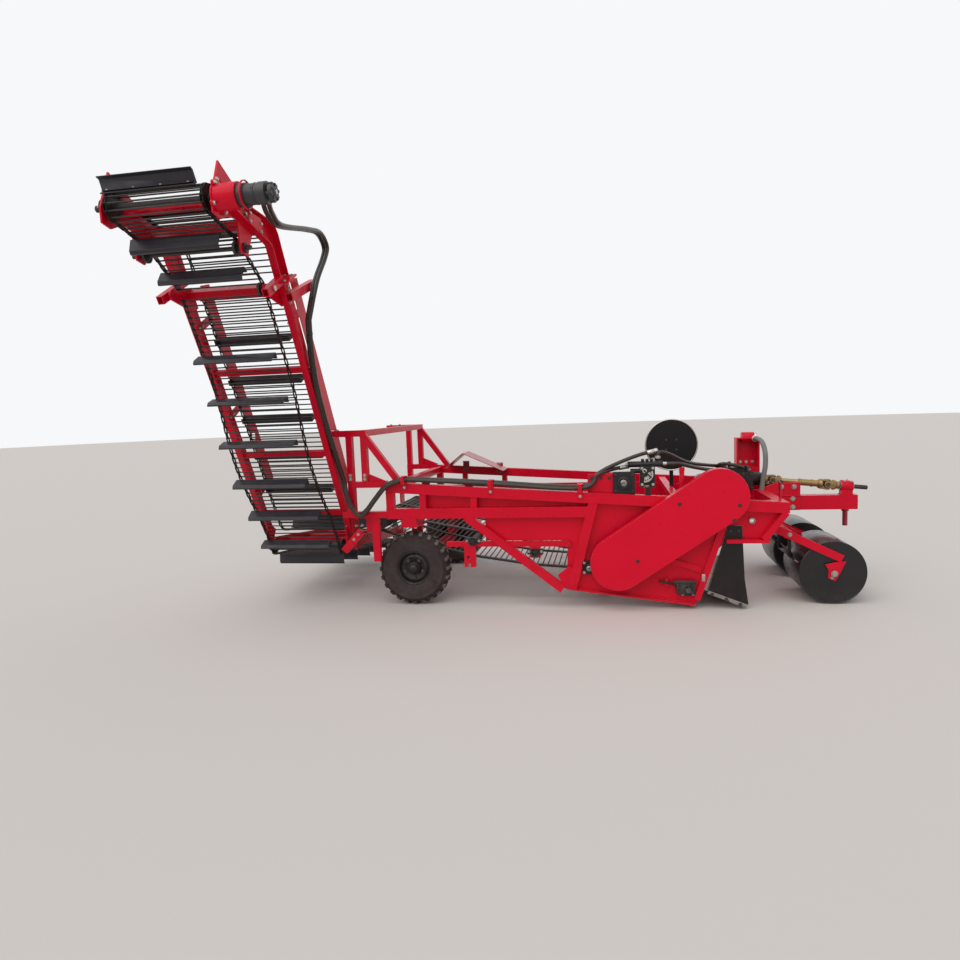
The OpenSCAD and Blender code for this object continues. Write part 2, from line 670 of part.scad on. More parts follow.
// Rollers and shafts that carry the two webs.
carry_d = 40;
carry_lift = 0.6;
function on_run(x) = mid_roller
    + (rear_roller - mid_roller) * (mid_roller[0] - x) / (mid_roller[0] - rear_roller[0])
    + [0, web_r + carry_lift - belt_t / 2 - carry_d / 2];
carry_rollers = [for (x = [989, 503]) on_run(x)];
module web_shafts()
    color(grey) {
        for (p = [front_roller, drive_roller]) {
            rod_y(p[0], p[1], -side_y - 5, side_y + 5, 40);
            rod_y(p[0], p[1], -front_web_half - 10, front_web_half + 10, web_roller_d, 48);
        }
        rod_y(mid_roller[0], mid_roller[1], -side_y + 2, side_y - 2, 40);
        rod_y(mid_roller[0], mid_roller[1], -rear_web_half - 10, rear_web_half + 10, web_roller_d, 48);
        for (p = carry_rollers) rod_y(p[0], p[1], -rail_in, rail_in, carry_d);
        rod_y(rear_roller[0], rear_roller[1], -rail_in, rail_in, 40);
        rod_y(rear_roller[0], rear_roller[1], -rear_web_half - 10, rear_web_half + 10, web_roller_d, 48);
    }

// Square flange bearings outside the side sheets.
bearing_places = [front_roller, drive_roller, mid_roller];
module flange_bearing(x, z, size)
    difference() {
        union() {
            box(x - size / 2, x + size / 2, -panel_y - 22, -panel_y, z - size / 2, z + size / 2);
            rod_y(x, z, -panel_y - 48, -panel_y - 20, size * 0.62);
        }
        rod_y(x, z, -panel_y - 60, -panel_y + 5, 40.4);
    }
module web_bearings()
    color(black)
        both_sides() {
            for (p = bearing_places) flange_bearing(p[0], p[1], 100);
            for (p = carry_rollers) rod_y(p[0], p[1], -rail_in - 56, -rail_in - 30, 70);
        }

// Guard over the chain from the gearbox shaft to the front web.
module stadium(a, b, r) {
    polygon(concat(arc(a, r, turn(b - a) + 90, turn(b - a) + 270, 20),
        arc(b, r, turn(b - a) - 90, turn(b - a) + 90, 20)));
}
guard_y = side_y;
module chain_guard()
    color(red)
        translate([0, -guard_y, 0]) rotate([90, 0, 0]) difference() {
            linear_extrude(guard_depth) stadium([guard_low_x, guard_low_z], [guard_high_x, guard_high_z],
                guard_r);
            translate([0, 0, -1]) linear_extrude(guard_depth - 3)
                stadium([guard_low_x, guard_low_z], [guard_high_x, guard_high_z], guard_r - 4);
        }

// Round dished cover above the middle of the machine.
module cover_disc()
    color(black) {
        translate([2085, -20, 1190]) rotate([90, 0, 0]) rotate_extrude($fn = 96)
            polygon([[0, 0], [218, 0], [218, 14], [206, 14], [200, 22], [0, 22]]);
        box(2070, 2100, -20, 12, upper_top(2060) - 15, 1190);
    }

module mast()
    color(red) {
        difference() {
            box(2640, 2830, 130, 250, 960, 1225);
            box(2652, 2818, 120, 240, 972, 1213);
        }
        box(2757, 2830, 130, 250, upper_low(2795) + 75, 965);
        rod_x(190, 1225, 2690, 2790, 90, 48);
    }

module mast_lever()
    color(grey) {
        rod_y(2790, 1215, 60, 130, 50, 32);
        bar_xz([2790, 1215], [2812, 1140], 26, 70, 96);
        bar_xz([2812, 1140], [2800, 820], 26, 70, 96);
        bar_xz([2800, 825], [2800, upper_low(2795) + 75], 26, 70, 96);
    }

// Hydraulic valve with its levers, and the drive unit beside it.
module valve_block()
    color(black) {
        box(1790, 1900, -800, -700, 920, 1080);
        on_rail(1825, 1865, -side_y + 30, -790, 925);
        rod_y(1845, 1010, -830, -800, 90);
        rod_x(-750, 1090, 1700, 1960, 46);
        rod_x(-750, 1040, 1720, 1790, 36);
    }
module on_rail(x0, x1, y0, y1, z)
    plate_xz([[x0, upper_top(x0)], [x1, upper_top(x1)], [x1, z], [x0, z]], y0, y1);
module drive_unit()
    color(black) {
        on_rail(1590, 1750, -rail_in - 40, -rail_in, upper_top(1660) + 165);
        rod_y(1667, upper_top(1660) + 85, -rail_in - 62, -rail_in - 38, 90);
        color(red) on_rail(1400, 1590, -rail_in - 14, -rail_in - 6, upper_top(1660) + 150);
    }

// Elevator. A place on the leg is given by its way up the leg's line and its distance out from it.
leg_foot = [foot_y, foot_z];
function on_leg(s, out) = leg_foot + leg_dir * s + leg_out * out;
rail_out = -178;
rail_out_face = rail_out + erail_h / 2;
rail_in_face = rail_out - erail_h / 2;
rail_foot = 60;
rail_top = leg_l - 12;

module both_rails() {
    translate([erail_front_x, 0, 0]) children();
    translate([erail_rear_x, 0, 0]) mirror([1, 0, 0]) children();
}
module in_yz(h) rotate([90, 0, 90]) linear_extrude(h) children();
module across(points) plate_yz(points, erail_rear_x, erail_front_x);
module leg_bar(s, depth, out, t)
    across(bar_points(on_leg(s - depth / 2, out), on_leg(s + depth / 2, out), t));

tie_depth = 45;
leg_ties = [240, 814, 1530];
top_tie = 2128;
top_tie_depth = 60;
sheet_out = -350;
sheet_in = -470;
strap_places = [430, 1172, 1890];
module elevator_leg()
    color(red) {
        both_rails() in_yz(erail_w)
            polygon(bar_points(on_leg(rail_foot, rail_out), on_leg(rail_top, rail_out), erail_h));
        for (s = leg_ties) leg_bar(s, tie_depth, rail_out, 30);
        leg_bar(top_tie, top_tie_depth, rail_out, erail_h);
        both_rails() {
            side_sheet();
            fold_lug();
        }
        knee_links();
        transport_arm();
    }

// Side sheet of the carrying run, on straps from the rail.
module side_sheet()
    translate([-sheet_t, 0, 0]) in_yz(sheet_t) {
        difference() {
            polygon([on_leg(340, sheet_out), on_leg(leg_l - 45, sheet_out), on_leg(leg_l - 75, sheet_in),
                     on_leg(410, sheet_in)]);
            translate([-side_y - 4, tower_z - tower_bar - 4]) square(tower_bar + 8);
        }
        for (s = strap_places) polygon(bar_points(on_leg(s, rail_out), on_leg(s, sheet_out - 20), 60));
    }

// Lug and pin on which the head folds, with the roller that holds the return run.
pin_s = leg_l + 20;
pin_out = 26;
pin_place = on_leg(pin_s, pin_out);
fold_pin_d = 25;
lug_t = 10;
lug_r = 34;
fold_roller_r = 44;
arm_w = erail_w - lug_gap;
module fold_lug() {
    translate([-lug_gap - lug_t, 0, 0]) in_yz(lug_t)
        polygon(concat([on_leg(rail_top - 150, rail_in_face), on_leg(rail_top, rail_in_face),
            on_leg(rail_top, rail_out_face)],
                       arc(pin_place, lug_r, turn(leg_dir) - 30, turn(leg_dir) + 150, 8),
                           [on_leg(rail_top - 150, rail_out_face)]));
    translate([-lug_gap - 1, 0, 0]) in_yz(lug_gap + 2)
        polygon(bar_points(on_leg(rail_top - 130, rail_out), on_leg(rail_top - 5, rail_out), erail_h - 10));
    rod_x(pin_place[0], pin_place[1], -lug_gap - lug_t - 2, erail_w + 4, fold_pin_d);
}

// Links from the knee's shaft to the rail and to the bar of the frame's tail.
link_top = [-600, 600];
module knee_links()
    both_rails() in_yz(sheet_t * 3) {
        polygon(bar_points(knee, on_leg(rail_foot + 60, rail_out), 70));
        polygon(bar_points(knee + [-18, -25], link_top, 62));
    }

// Square arm on the near side that carries the head when it is folded.
module transport_arm()
    difference() {
        plate_yz(bar_points(on_leg(2092, -105), on_leg(2030, -555), 56), erail_front_x + erail_w,
            erail_front_x + 2 * erail_w);
        plate_yz(bar_points(on_leg(2092, -85), on_leg(2084, -165), 44), erail_front_x + erail_w + 6,
            erail_front_x + 2 * erail_w - 6);
    }

// Knee idler and the receiving trough under the rear web.
knee = on_leg(-45, -90);
trough_start = knee + trough_out * (idler_r - trough_gap / 2) - trough_dir * 90;
trough_end = knee + trough_out * (idler_r - trough_gap / 2) - trough_dir * trough_l;
trough_ties = [250, 700, 1150];
hanger_x = erail_front_x + erail_w + 2;
module elevator_trough()
    color(red) {
        for (x = [erail_front_x, erail_rear_x - 20])
            plate_yz(bar_points(trough_start, trough_end - trough_dir * 60, 90), x, x + 20);
        for (s = trough_ties)
            across(bar_points(trough_start - trough_dir * s, trough_start - trough_dir * (s + 50), 30));
        // Hangers to the tail of the frame.
        for (side = [-1, 1])
            box(hanger_x, tail_x, side * (side_y - 90) - 90, side * (side_y - 90) + 90, lower_low + 10,
                lower_low + 60);
        box(hanger_x, hanger_x + 15, side_y - 180, side_y - 60, knee[1] - 160, lower_low + 60);
        box(erail_front_x + 2, hanger_x + 10, side_y - 170, side_y - 120, knee[1] - 150, knee[1] - 110);
        plate_yz([[-side_y, lower_low + 60], [-side_y + 310, lower_low + 60], [-side_y + 330, knee[1] - 40],
                  [-side_y + 240, knee[1] - 40], [-side_y + 150, lower_low + 10], [-side_y, lower_low + 10]],
                 hanger_x, hanger_x + 15);
        box(erail_front_x + 2, hanger_x + 10, -side_y + 250, -side_y + 310, knee[1] - 35, knee[1] + 5);
    }

// Path of the elevator's web up to the fold. Its return run is slack and hangs out.
far_r = trough_gap / 2;
chain_lap = 25;
carry_leg = on_leg(0, -carry_off);
carry_trough = trough_end - trough_out * far_r;
inner_bend = meet(carry_trough, trough_dir, carry_leg, leg_dir);
return_out = pin_out - fold_roller_r - 6 - chain_t / 2;
function hang(s) = s > 60 && s < 1600 ? leg_sag * pow(sin(180 * (s - 60) / 1540), 2) : 0;
return_steps = 14;
leg_path = concat(
    [for (k = [0:return_steps])
        let (s = leg_l - chain_lap - k * (leg_l - chain_lap - 110) / return_steps)
            on_leg(s, return_out + hang(s))],
    arc(knee, idler_r, turn(leg_out), turn(trough_out), 4),
    arc(trough_end, far_r, turn(trough_out), turn(trough_out) + 180, 6),
    [inner_bend - trough_dir * 70, inner_bend - trough_dir * 18 + leg_dir * 18, inner_bend + leg_dir * 70],
    [on_leg(leg_l - chain_lap, -carry_off)]);

module rods_along(path, pitch, first, x0, x1, d) {
    acc = lengths(path);
    total = acc[len(acc) - 1];
    for (s = [first:pitch:total - 5]) {
        p = point_at(path, acc, s);
        rod_x(p[0], p[1], x0, x1, d, 6);
    }
}
module elevator_chain(path)
    for (x = [elev_front_x, elev_rear_x])
        translate([x - chain_w / 2, 0, 0]) in_yz(chain_w) ribbon(path, chain_t);
chain_x0 = elev_rear_x - chain_w / 2;
chain_x1 = elev_front_x + chain_w / 2;
disc_w = 18;
module discs(place, r)
    for (x = [elev_front_x, elev_rear_x]) rod_x(place[0], place[1], x - disc_w / 2, x + disc_w / 2, 2 * r);

module elevator_web()
    color(black) {
        elevator_chain(leg_path);
        rods_along(leg_path, erod_pitch, 12, chain_x0, chain_x1, erod_d);
        discs(knee, idler_r - chain_t / 2);
        discs(trough_end, far_r - chain_t / 2);
        rod_x(knee[0], knee[1], erail_rear_x, erail_front_x, 30);
        rod_x(trough_end[0], trough_end[1], erail_rear_x, erail_front_x, 30);
        // Roller on the fold's pin, at the near chain.
        rod_x(pin_place[0], pin_place[1], elev_front_x - disc_w / 2, elev_front_x + disc_w / 2,
            2 * fold_roller_r);
        rod_x(pin_place[0], pin_place[1], elev_front_x - disc_w / 2, erail_front_x - lug_gap - lug_t - 2,
            fold_pin_d - 5);
    }

// A carrier board standing out from the web's outer side, its lip bent over.
board_x0 = elev_rear_x - 35;
board_x1 = board_x0 + board_l;
board_t = 8;
board_foot = 36;
board_lift = 0.4;
module boards_along(path, list) {
    acc = lengths(path);
    for (s = list) {
        p = point_at(path, acc, s);
        u = dir_at(path, acc, s);
        n = -left_of(u);
        base = p + n * (chain_t / 2 + board_lift);
        plate_yz([base - u * board_t, base + u * board_foot, base + n * 6 + u * board_foot,
            base + n * 10 + u * board_t,
                  base + n * (board_h - 22), base + n * board_h + u * 18, base + n * board_h + u * 6,
                  base + n * (board_h - 18) - u * board_t], board_x0, board_x1);
    }
}
leg_acc = lengths(leg_path);
leg_total = leg_acc[len(leg_acc) - 1];
// No board where the web bends inwards from the trough to the leg.
knee_way = leg_total - (leg_l - chain_lap - (inner_bend - carry_leg) * leg_dir);
leg_boards = [for (s = [425:board_pitch:leg_total - 60]) if (abs(s - knee_way) > 150) s];
module elevator_boards()
    color(rubber) boards_along(leg_path, leg_boards);

// Head of the elevator, which folds down about the pins. Its side channels taper to the end plates.
head_taper = 4.7;
head_foot = leg_l + 12;
bend_s = leg_l + 306;
bend_skew = 49;
head_depth = 134;
lower_dir = leg_u(head_angle + head_taper);
lower_out = leg_n(head_angle + head_taper);
upper_dir = leg_u(head_angle - head_taper);
lower_bend = on_leg(bend_s - bend_skew, rail_out + head_depth / 2 - 7);
upper_bend = on_leg(bend_s + bend_skew, rail_out - head_depth / 2 - 7);
tip = lower_bend + lower_dir * head_l;
lower_end = tip - lower_dir * 40;
upper_end = meet(upper_bend, upper_dir, tip - lower_dir * 40, lower_out);
function rounded(a, b, c, r, n) =
    let (u = unit(a - b), v = unit(c - b), h = acos(u * v) / 2, m = b + unit(u + v) * r / sin(h),
         first = turn(b + u * r / tan(h) - m), last = turn(b + v * r / tan(h) - m),
         span = (last - first + 540) % 360 - 180)
    [for (i = [0:n]) m + r * [cos(first + span * i / n), sin(first + span * i / n)]];
upper_edge = concat([on_leg(head_foot, rail_out - head_depth / 2 - 2)],
                    rounded(on_leg(head_foot, rail_out - head_depth / 2 - 7), upper_bend, upper_end, 156,
                        8), [upper_end]);
lower_edge = concat([on_leg(head_foot, rail_out + head_depth / 2 - 7)],
                    rounded(on_leg(head_foot, rail_out + head_depth / 2 - 7), lower_bend, lower_end, 40,
                        4), [lower_end]);
function reversed(p) = [for (i = [len(p) - 1:-1:0]) p[i]];
module head_profile() polygon(concat(upper_edge, reversed(lower_edge)));
channel_t = 6;
knee2 = lower_bend + lower_dir * 267 + lower_out * 145;
idler2_r = 46;
head_tie_ways = [170, 430];
module head_channel() {
    in_yz(channel_t) head_profile();
    in_yz(erail_w) difference() {
        head_profile();
        offset(delta = -channel_t) head_profile();
    }
    // Cover plate on the open side, behind the bend.
    translate([erail_w - channel_t, 0, 0]) in_yz(channel_t)
        polygon([lower_bend + lower_dir * 130 - lower_out, lower_bend + lower_dir * 300 - lower_out,
                 lower_bend + lower_dir * 300 - lower_out * 70,
                 lower_bend + lower_dir * 160 - lower_out * 95]);
}
function at_tip(along, out) = tip + lower_dir * along + lower_out * out;
module end_plate()
    in_yz(channel_t * 2) difference() {
        polygon([at_tip(17, -218), at_tip(55, 20), at_tip(31, 104), at_tip(-50, 104), at_tip(-128, 43),
            at_tip(-290, -3), at_tip(-404, -110)]);
        translate(tip) circle(d = 42, $fn = 24);
        translate(at_tip(-18, -100)) circle(d = 26, $fn = 24);
    }
module idler_lug()
    in_yz(channel_t * 2) difference() {
        polygon([lower_bend + lower_dir * 180 - lower_out * 3, lower_bend + lower_dir * 375 - lower_out * 3,
            knee2 + lower_dir * 52 - lower_out * 10,
                 knee2 + lower_dir * 30 + lower_out * 40, knee2 - lower_dir * 48 + lower_out * 36,
                     knee2 - lower_dir * 60 - lower_out * 40]);
        translate(knee2) circle(d = 30, $fn = 24);
    }
module fold_arm()
    difference() {
        translate([lug_gap, 0, 0]) in_yz(arm_w)
            polygon(bar_points(on_leg(head_foot + 9, rail_out_face - 20), on_leg(head_foot + 9, 115), 54));
        translate([lug_gap + channel_t, 0, 0]) in_yz(arm_w - 2 * channel_t)
            polygon(bar_points(on_leg(head_foot + 9, 62), on_leg(head_foot + 9, 125), 54 - 2 * channel_t));
        rod_x(pin_place[0], pin_place[1], 0, erail_w + 10, fold_pin_d + 0.6);
    }
module foot_plate()
    translate([lug_gap, 0, 0]) in_yz(foot_plate_w)
        polygon(bar_points(on_leg(head_foot - 2, rail_in_face - 48),
            on_leg(head_foot - 2, rail_out_face + 36), 12));
module elevator_head()
    color(red) {
        both_rails() {
            head_channel();
            fold_arm();
            foot_plate();
            end_plate();
            idler_lug();
        }
        for (way = head_tie_ways) across(bar_points(lower_bend + lower_dir * way - lower_out * 40,
                                                     lower_bend + lower_dir * (way + 60) - lower_out * 40,
                                                         30));
        // Bell housing of the motor.
        difference() {
            rod_x(tip[0], tip[1], erail_front_x + channel_t * 2, erail_front_x + 150, 150, 48);
            rod_x(tip[0], tip[1], erail_front_x - 5, erail_front_x + 155, 44);
        }
    }

// Web of the head.
head_carry = lower_bend - lower_out * 95;
carry_bend = meet(carry_leg, leg_dir, head_carry, lower_dir);
head_return_foot = leg_l + chain_lap;
head_path = concat(
    [on_leg(leg_l + chain_lap, -carry_off)],
    [carry_bend - leg_dir * 60, carry_bend + lower_dir * 10 - leg_dir * 14, carry_bend + lower_dir * 60],
    arc(tip, sprocket_r, turn(-lower_out), turn(-lower_out) + 174, 6),
    arc(knee2, -idler2_r - chain_t / 2, turn(lower_out) - 6, turn(leg_out) + 22, 3),
    [on_leg(head_return_foot, return_out)]);
module head_web()
    color(black) {
        elevator_chain(head_path);
        rods_along(head_path, erod_pitch, 12, chain_x0, chain_x1, erod_d);
        discs(tip, sprocket_r - chain_t / 2);
        discs(knee2, idler2_r);
        rod_x(tip[0], tip[1], erail_rear_x - 20, erail_front_x + 150, 40);
        rod_x(knee2[0], knee2[1], erail_rear_x - 6, erail_front_x + 6, 28);
    }
head_acc = lengths(head_path);
// Places of the head's boards: on the carrying run, over the sprocket and on the return run.
head_boards_at = [300, 635, 970, 1380, 1705];
module head_boards()
    color(rubber) boards_along(head_path, head_boards_at);

// Hydraulic motor: flange, barrel and end cover, as [from, to, diameter].
motor_steps = [[150, 195, 128], [195, 275, 116], [275, 320, 124]];
module head_motor()
    color(black)
        for (m = motor_steps) rod_x(tip[0], tip[1], erail_front_x + m[0], erail_front_x + m[1], m[2], 48);

// Hydraulic hoses: two side by side, as eight-sided tubes along their route.
hose_y = -862;
hose_lift = 34;
hose_tail_y = -930;
hose_leg_x = -519;
hose_leg_points = [
    [1683, -750, 1090], [1620, -800, 1090], [1500, -888, 1020],
    [1344, hose_y - 14, upper_top(1344) + hose_lift], [661, hose_y, upper_top(661) + hose_lift],
    [60, hose_y - 21, upper_top(60) + hose_lift], [-22, hose_y - 49, upper_top(-22) + hose_lift],
    [-78, hose_tail_y, 1012], [-165, hose_tail_y, 975], [-262, hose_tail_y, 868], [-330, hose_tail_y, 785],
    [-393, hose_tail_y, 748], [-450, hose_tail_y, 800], [-490, hose_tail_y, 920],
    [hose_leg_x + 7, hose_tail_y, 1048], [hose_leg_x, -1080, 1298], [hose_leg_x, -1232, 1549],
    [hose_leg_x, -1350, 1800], [hose_leg_x + 7, -1415, 2010], [hose_leg_x + 14, -1442, 2216]];
hose_loop_points = [
    [hose_leg_x + 14, -1442, 2216], [-470, -1427, 2378], [-460, -1353, 2523], [-452, -1225, 2680],
    [-450, -1183, 2773], [-435, -1332, 2834], [-420, -1572, 2803], [-400, -2033, 2717],
    [-370, -2227, 2737], [-330, tip[0] + 64, tip[1] - 20]];
hose_steps = 4;
function bend(p, i, t) =
    let (n = len(p) - 1, a = p[max(0, i - 1)], b = p[i], c = p[i + 1], d = p[min(n, i + 2)])
    0.5 * (2 * b + (c - a) * t + (2 * a - 5 * b + 4 * c - d) * t * t + (3 * b - a - 3 * c + d) * t * t * t);
function smooth(p, k) = concat([for (i = [0:len(p) - 2]) for (j = [0:k - 1]) bend(p, i, j / k)],
    [p[len(p) - 1]]);
function normals(t, n, i = 0) = i == len(t) ? [] :
    let (m = unit(n - t[i] * (n * t[i]))) concat([m], normals(t, m, i + 1));
module tube(path, d, sides, first, final) {
    last = len(path) - 1;
    t = [for (i = [0:last]) i == 0 && first ? first : i == last && final ? final
        : unit(path[min(last, i + 1)] - path[max(0, i - 1)])];
    n = normals(t, [0.1, 0.7, 0.7]);
    points = [for (i = [0:last]) for (k = [0:sides - 1])
        path[i] + d / 2 * (n[i] * cos(360 * k / sides) + cross(t[i], n[i]) * sin(360 * k / sides))];
    walls = [for (i = [0:last - 1]) for (k = [0:sides - 1])
        [i * sides + k, i * sides + (k + 1) % sides, (i + 1) * sides + (k + 1) % sides, (i + 1) * sides + k]];
    polyhedron(points, concat(walls, [[for (k = [sides - 1:-1:0]) k],
        [for (k = [0:sides - 1]) last * sides + k]]), 4);
}

// The pair lies side by side along the frame and turns to lie flat on the leg and over the head.
// Where the two lengths meet, their ends are square to one direction.
hose_gap = 17;
hose_join = unit(hose_loop_points[1] - hose_leg_points[len(hose_leg_points) - 2]);
module hose(points, from, to, first, final)
    for (side = [-hose_gap, hose_gap]) {
        last = len(points) - 1;
        beside = [for (i = [0:last]) points[i] + side * (from + (to - from) * i / last)];
        tube(smooth(beside, hose_steps), hose_d, 8, first, final);
    }
module hose_leg() color(rubber) hose(hose_leg_points, [0, -1, 0], [1, -1, 0], false, hose_join);
module hose_loop() color(rubber) hose(hose_loop_points, [1, -1, 0], [1, 0, 0], hose_join, false);

// Angle clips that hold the hoses on the upper rail: columns are x and y of the middle.
clip_places = [[-22, hose_y - 46], [661, hose_y], [1344, hose_y - 14]];
module hose_clips()
    color(red)
        for (c = clip_places)
            difference() {
                on_rail(c[0] - 12, c[0] + 12, c[1] - 48, c[1] + 32, upper_top(c[0]) + 60);
                box(c[0] - 20, c[0] + 20, c[1] - 41, c[1] + 50, upper_top(c[0]) + 16, upper_top(c[0]) + 53);
            }

module placed() translate([-mid_x, -mid_y, 0]) children();
placed() frame_side();  // frame_side_near
placed() mirror([0, 1, 0]) frame_side();  // frame_side_far
placed() frame_cross();
placed() side_panel(shaft_places);  // side_panel_near
placed() mirror([0, 1, 0]) side_panel(shaft_places);  // side_panel_far
placed() rear_tower();
placed() deflector();
placed() headstock();
placed() drawbar();
placed() hitch_pin();
placed() pto_bearing();
placed() pto_shaft();
placed() gearbox();
placed() axle();
placed() tyre(-wheel_y);  // tyre_near
placed() tyre(wheel_y);  // tyre_far
placed() rim(-wheel_y, 1);  // rim_near
placed() rim(wheel_y, -1);  // rim_far
placed() roller_frame();
placed() gauge_roller(-roller_y);  // gauge_roller_near
placed() gauge_roller(roller_y);  // gauge_roller_far
placed() roller_pivot();
placed() depth_bars();
placed() share();
placed() side_blades();
placed() web_front();
placed() web_rear();
placed() web_shafts();
placed() web_bearings();
placed() chain_guard();
placed() cover_disc();
placed() mast();
placed() mast_lever();
placed() valve_block();
placed() drive_unit();
placed() elevator_leg();
placed() elevator_trough();
placed() elevator_web();
placed() elevator_boards();
placed() elevator_head();
placed() head_web();
placed() head_boards();
placed() head_motor();
placed() hose_leg();
placed() hose_loop();
placed() hose_clips();
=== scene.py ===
import bpy, bmesh, math
from mathutils import Matrix, Vector


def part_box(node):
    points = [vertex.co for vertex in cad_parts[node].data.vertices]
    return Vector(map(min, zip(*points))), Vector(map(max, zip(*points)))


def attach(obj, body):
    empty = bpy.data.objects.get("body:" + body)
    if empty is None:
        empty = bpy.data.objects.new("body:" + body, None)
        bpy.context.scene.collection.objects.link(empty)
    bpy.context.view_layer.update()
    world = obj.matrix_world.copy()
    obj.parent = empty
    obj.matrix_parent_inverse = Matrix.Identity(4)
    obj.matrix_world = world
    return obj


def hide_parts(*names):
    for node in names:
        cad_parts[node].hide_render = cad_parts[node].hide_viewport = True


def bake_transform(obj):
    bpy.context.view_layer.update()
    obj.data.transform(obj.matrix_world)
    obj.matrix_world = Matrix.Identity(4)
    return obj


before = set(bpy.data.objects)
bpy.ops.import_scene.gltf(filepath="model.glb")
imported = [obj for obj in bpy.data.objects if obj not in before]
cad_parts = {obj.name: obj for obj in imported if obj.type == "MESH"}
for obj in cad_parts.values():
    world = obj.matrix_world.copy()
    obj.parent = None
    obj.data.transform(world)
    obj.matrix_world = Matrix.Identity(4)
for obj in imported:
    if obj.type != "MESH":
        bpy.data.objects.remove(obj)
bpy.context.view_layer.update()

# Camera, floor and light.
# A plain pale floor under soft daylight, seen from where the photograph was taken. Places are
# given as on the drawing: millimetres from the ground under the axle, on the centre plane.
near_tyre, far_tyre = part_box("tyre_near"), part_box("tyre_far")
axle_x = (near_tyre[0].x + near_tyre[1].x) / 2
middle_y = (near_tyre[0].y + far_tyre[1].y) / 2


def at(x, y, z):
    """A place of the drawing, in the metres of the frame."""
    return Vector((axle_x + x / 1000, middle_y + y / 1000, z / 1000))


camera_place = at(1558.1, -6270.5, 1546.3)
camera_pitch, camera_yaw, camera_roll = 0.0982, -0.1795, -0.0372
ahead = Vector((math.sin(camera_yaw) * math.cos(camera_pitch),
                math.cos(camera_yaw) * math.cos(camera_pitch), -math.sin(camera_pitch)))
level = Vector((math.cos(camera_yaw), -math.sin(camera_yaw), 0))
upward = level.cross(ahead)
side = level * math.cos(camera_roll) + upward * math.sin(camera_roll)
top = upward * math.cos(camera_roll) - level * math.sin(camera_roll)
camera = bpy.data.objects.new("camera", bpy.data.cameras.new("camera"))
camera.data.sensor_width = 36
camera.data.lens = 26.746
camera.data.clip_end = 200
turned = Matrix((side, top, -ahead)).transposed().to_4x4()
camera.matrix_world = Matrix.Translation(camera_place) @ turned
bpy.context.scene.collection.objects.link(camera)
bpy.context.scene.camera = camera
bpy.context.scene.view_settings.view_transform = "Standard"


def add_node(tree, kind, sockets=None, **settings):
    """A shader node with its settings. Each socket gets a value, or the output that feeds it."""
    node = tree.nodes.new("ShaderNode" + kind)
    for name, value in settings.items():
        setattr(node, name, value)
    for name, value in (sockets or {}).items():
        if isinstance(value, bpy.types.NodeSocket):
            tree.links.new(value, node.inputs[name])
        else:
            node.inputs[name].default_value = value
    return node


floor_finish = bpy.data.materials.new("pale concrete")
floor_finish.use_nodes = True
floor_tree = floor_finish.node_tree
floor_tree.nodes.clear()
floor_look = {"Base Color": (0.68, 0.62, 0.57, 1), "Roughness": 0.9, "Specular IOR Level": 0.1}
floor_surface = add_node(floor_tree, "BsdfPrincipled", floor_look)
add_node(floor_tree, "OutputMaterial", {"Surface": floor_surface.outputs[0]})
floor_mesh = bmesh.new()
bmesh.ops.create_circle(floor_mesh, cap_ends=True, segments=96, radius=60)
floor_data = bpy.data.meshes.new("floor")
floor_mesh.to_mesh(floor_data)
floor = bpy.data.objects.new("floor", floor_data)
bpy.context.scene.collection.objects.link(floor)
floor_data.materials.append(floor_finish)

world = bpy.data.worlds.new("soft daylight")
bpy.context.scene.world = world
world.use_nodes = True
world_tree = world.node_tree
world_tree.nodes.clear()
daylight = add_node(world_tree, "Background", {"Color": (0.86, 0.92, 1.0, 1), "Strength": 0.62})
backdrop = add_node(world_tree, "Background", {"Color": (0.93, 0.94, 0.95, 1), "Strength": 1.0})
paths = add_node(world_tree, "LightPath")
seen = paths.outputs["Is Camera Ray"]
for kind in ("Is Glossy Ray", "Is Transmission Ray"):
    seen = add_node(world_tree, "Math", {0: seen, 1: paths.outputs[kind]}, operation="MAXIMUM").outputs[0]
choose = add_node(world_tree, "MixShader", {0: seen, 1: daylight.outputs[0], 2: backdrop.outputs[0]})
add_node(world_tree, "OutputWorld", {"Surface": choose.outputs[0]})

sky = bpy.data.lights.new("cloudy sky", "SUN")
sky.energy = 1.5
sky.angle = math.radians(70)
sky.color = (1.0, 0.985, 0.96)
sky_object = bpy.data.objects.new("cloudy sky", sky)
sky_object.matrix_world = Vector((0.35, 0.75, -1.0)).to_track_quat("-Z", "Y").to_matrix().to_4x4()
bpy.context.scene.collection.objects.link(sky_object)

# Side frames.
# Two welded frames of square steel tube, one each side, sprayed with gloss red enamel. Their
# rounded edges are a lighter, glossier red that paints an edge highlight, with a few real chips,
# and the enamel collects pale dust low down and on what faces up.


def new_group(name, result, **wants):
    """A shader node group: its tree, what it is given, and a function that sends out its result."""
    group = bpy.data.node_groups.new(name, "ShaderNodeTree")
    for label, value in wants.items():
        socket = group.interface.new_socket(label, in_out="INPUT", socket_type="NodeSocketFloat")
        socket.default_value = value
    group.interface.new_socket(result, in_out="OUTPUT", socket_type="NodeSocketFloat")
    given = group.nodes.new("NodeGroupInput")
    made = group.nodes.new("NodeGroupOutput")
    return group, given.outputs, lambda output: group.links.new(output, made.inputs[result])


